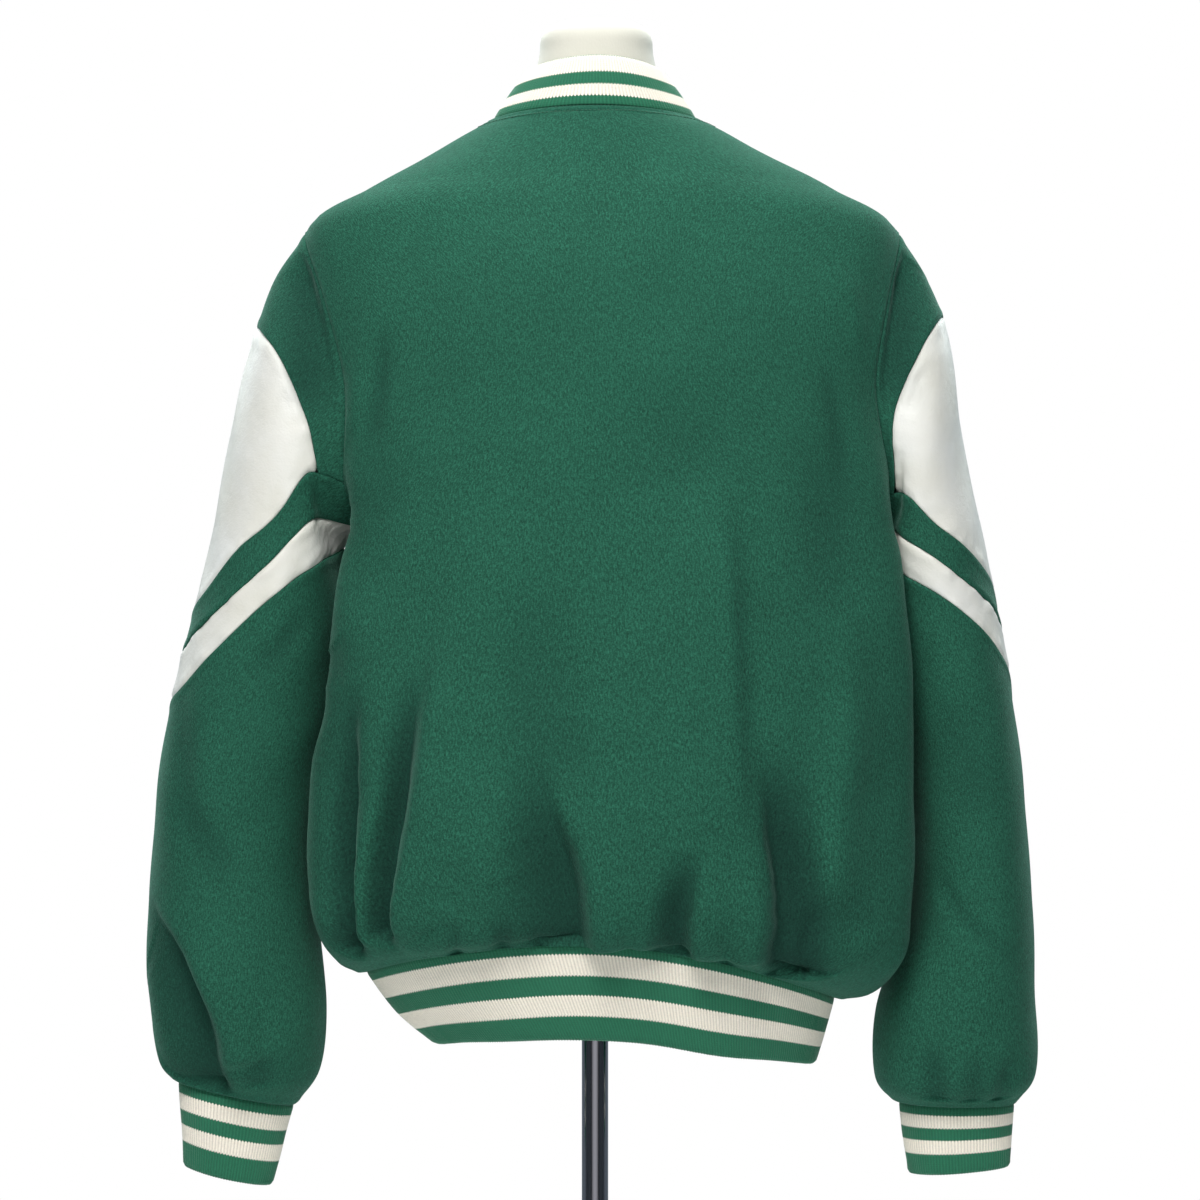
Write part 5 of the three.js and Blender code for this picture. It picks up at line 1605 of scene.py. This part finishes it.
# Lights: name, place, size, watts, tint
LIGHTS = (
    ("soft key above the camera", (0.3, 2.1, 3.0), 1.2, 69, (1.0, 1.0, 0.98)),
    ("rim from the wearer's left", (1.5, -1.9, 2.3), 1.4, 24, (0.9, 1.0, 1.0)),
    ("rim from the wearer's right", (-1.5, -1.9, 2.3), 1.4, 24, (0.9, 1.0, 1.0)),
    ("rim from above", (0, -0.7, 3.3), 1.4, 66, (0.94, 1.0, 1.0)),
)
# Light of the room from the front of the garment to its back, as places and levels, and its tint;
# it ends in plain white behind the camera
STUDIO_LIGHT = ((0.0, 0.3), (0.42, 0.3), (0.6, 0.08), (0.85, 0.1), (0.93, 0.03))
STUDIO_TINT = (0.78, 0.94, 1.06)
WHITE = (1, 1, 1, 1)
# The floor's top lies just under the base, so that the two faces don't fight
FLOOR_RADIUS, FLOOR_FOOT, FLOOR_TOP = 3.0, -0.02, -0.0002


def area_light(name, place, target, size, watts, tint):
    """A soft square light that faces a point."""
    data = bpy.data.lights.new(name, "AREA")
    data.shape, data.size, data.energy, data.color = "SQUARE", size, watts, tint
    lamp = placed(name, data)
    lamp.location = place
    lamp.rotation_euler = (Vector(target) - Vector(place)).to_track_quat("-Z", "Y").to_euler()
    lamp.visible_camera = False


def set_camera(scene):
    """Sets the camera straight behind the jacket."""
    lens = bpy.data.cameras.new("camera")
    lens.sensor_width, lens.lens = SENSOR_WIDTH, FOCAL_LENGTH
    camera = placed("camera", lens)
    camera.location = CAMERA_PLACE
    camera.rotation_euler = (math.pi / 2, 0, math.pi)
    scene.camera = camera


def white_studio():
    """A bright white studio: the camera sees it as pure white, the cloth is lit by less of it."""
    world = bpy.data.worlds.new("white studio")
    world.use_nodes = True
    tree = world.node_tree
    tree.nodes.clear()
    seen = node(tree, "ShaderNodeLightPath")
    way = node(tree, "ShaderNodeSeparateXYZ", {
        0: node(tree, "ShaderNodeTexCoord").outputs["Generated"]})
    room = node(tree, "ShaderNodeValToRGB", {
        "Fac": node(tree, "ShaderNodeMapRange", {
            "Value": way.outputs["Y"], "From Min": -1.0, "From Max": 1.0}).outputs[0]})
    ramp = room.color_ramp.elements
    for place, level in STUDIO_LIGHT:
        element = ramp.new(place) if place > 0 else ramp[0]
        element.color = (*[level * part for part in STUDIO_TINT], 1)
    ramp[-1].color = WHITE
    tint = node(tree, "ShaderNodeMix", {
        "Factor": seen.outputs["Is Camera Ray"], FIRST_COLOUR: room.outputs[0],
        SECOND_COLOUR: WHITE}, data_type="RGBA")
    light = node(tree, "ShaderNodeBackground", {
        "Color": tint.outputs[MIXED_COLOUR], "Strength": 1.0})
    node(tree, "ShaderNodeOutputWorld", {"Surface": light.outputs[0]})
    return world


def pale_floor():
    """A plain round floor of matt pale paint."""
    profile = [(0, FLOOR_FOOT), (FLOOR_RADIUS, FLOOR_FOOT), (FLOOR_RADIUS, FLOOR_TOP), (0, FLOOR_TOP)]
    floor = turned("floor", profile, 96)
    paint, tree, shader = material_tree("matt pale floor")
    mottle = node(tree, "ShaderNodeTexNoise", {
        "Vector": node(tree, "ShaderNodeTexCoord").outputs["Object"], "Scale": 2.0})
    tone = node(tree, "ShaderNodeValToRGB", {"Fac": mottle.outputs[0]})
    tone.color_ramp.elements[0].color = shade(linear("#E9E9E7"))
    tone.color_ramp.elements[1].color = shade(linear("#EFEFED"))
    feed(tree, shader, {"Base Color": tone.outputs[0], "Roughness": 0.8})
    floor.data.materials.append(paint)
    return floor


class JACKET_OT_stage(bpy.types.Operator):
    """Set the camera, the soft studio light and the plain pale floor"""

    bl_idname = "jacket.stage"
    bl_label = "Stage"

    def execute(self, context):
        scene = context.scene
        scene.view_settings.view_transform = "Standard"
        set_camera(scene)
        scene.world = white_studio()
        for name, spot, size, watts, cast in LIGHTS:
            area_light(name, spot, CHEST, size, watts, cast)
        floor = pale_floor()
        return {"FINISHED"}


class JACKET_PT_panel(bpy.types.Panel):
    """The steps of making the jacket, with its sizes and colours"""

    bl_label = "Varsity jacket"
    bl_idname = "JACKET_PT_panel"
    bl_space_type = "VIEW_3D"
    bl_region_type = "UI"
    bl_category = "Jacket"

    def draw(self, context):
        layout = self.layout
        for group in (context.scene.jacket_sizes, context.scene.jacket_colours):
            for name in group.__annotations__:
                layout.prop(group, name)
        for step in STEPS:
            layout.operator(step.bl_idname)


STEPS = (
    JACKET_OT_stage, JACKET_OT_body, JACKET_OT_sleeves, JACKET_OT_ribs, JACKET_OT_snaps,
    JACKET_OT_form, JACKET_OT_stand,
)
CLASSES = (JacketSizes, JacketColours, *STEPS, JACKET_PT_panel)


def register():
    """Registers the classes and their settings on the scene."""
    for kind in CLASSES:
        bpy.utils.register_class(kind)
    bpy.types.Scene.jacket_sizes = bpy.props.PointerProperty(type=JacketSizes)
    bpy.types.Scene.jacket_colours = bpy.props.PointerProperty(type=JacketColours)


def unregister():
    """Takes the settings and the classes away."""
    del bpy.types.Scene.jacket_colours
    del bpy.types.Scene.jacket_sizes
    for kind in reversed(CLASSES):
        bpy.utils.unregister_class(kind)


def main():
    """Makes the whole object."""
    register()
    bpy.ops.jacket.stage()
    bpy.ops.jacket.body()
    bpy.ops.jacket.sleeves()
    bpy.ops.jacket.ribs()
    bpy.ops.jacket.snaps()
    bpy.ops.jacket.form()
    bpy.ops.jacket.stand()


if __name__ == "__main__":
    main()
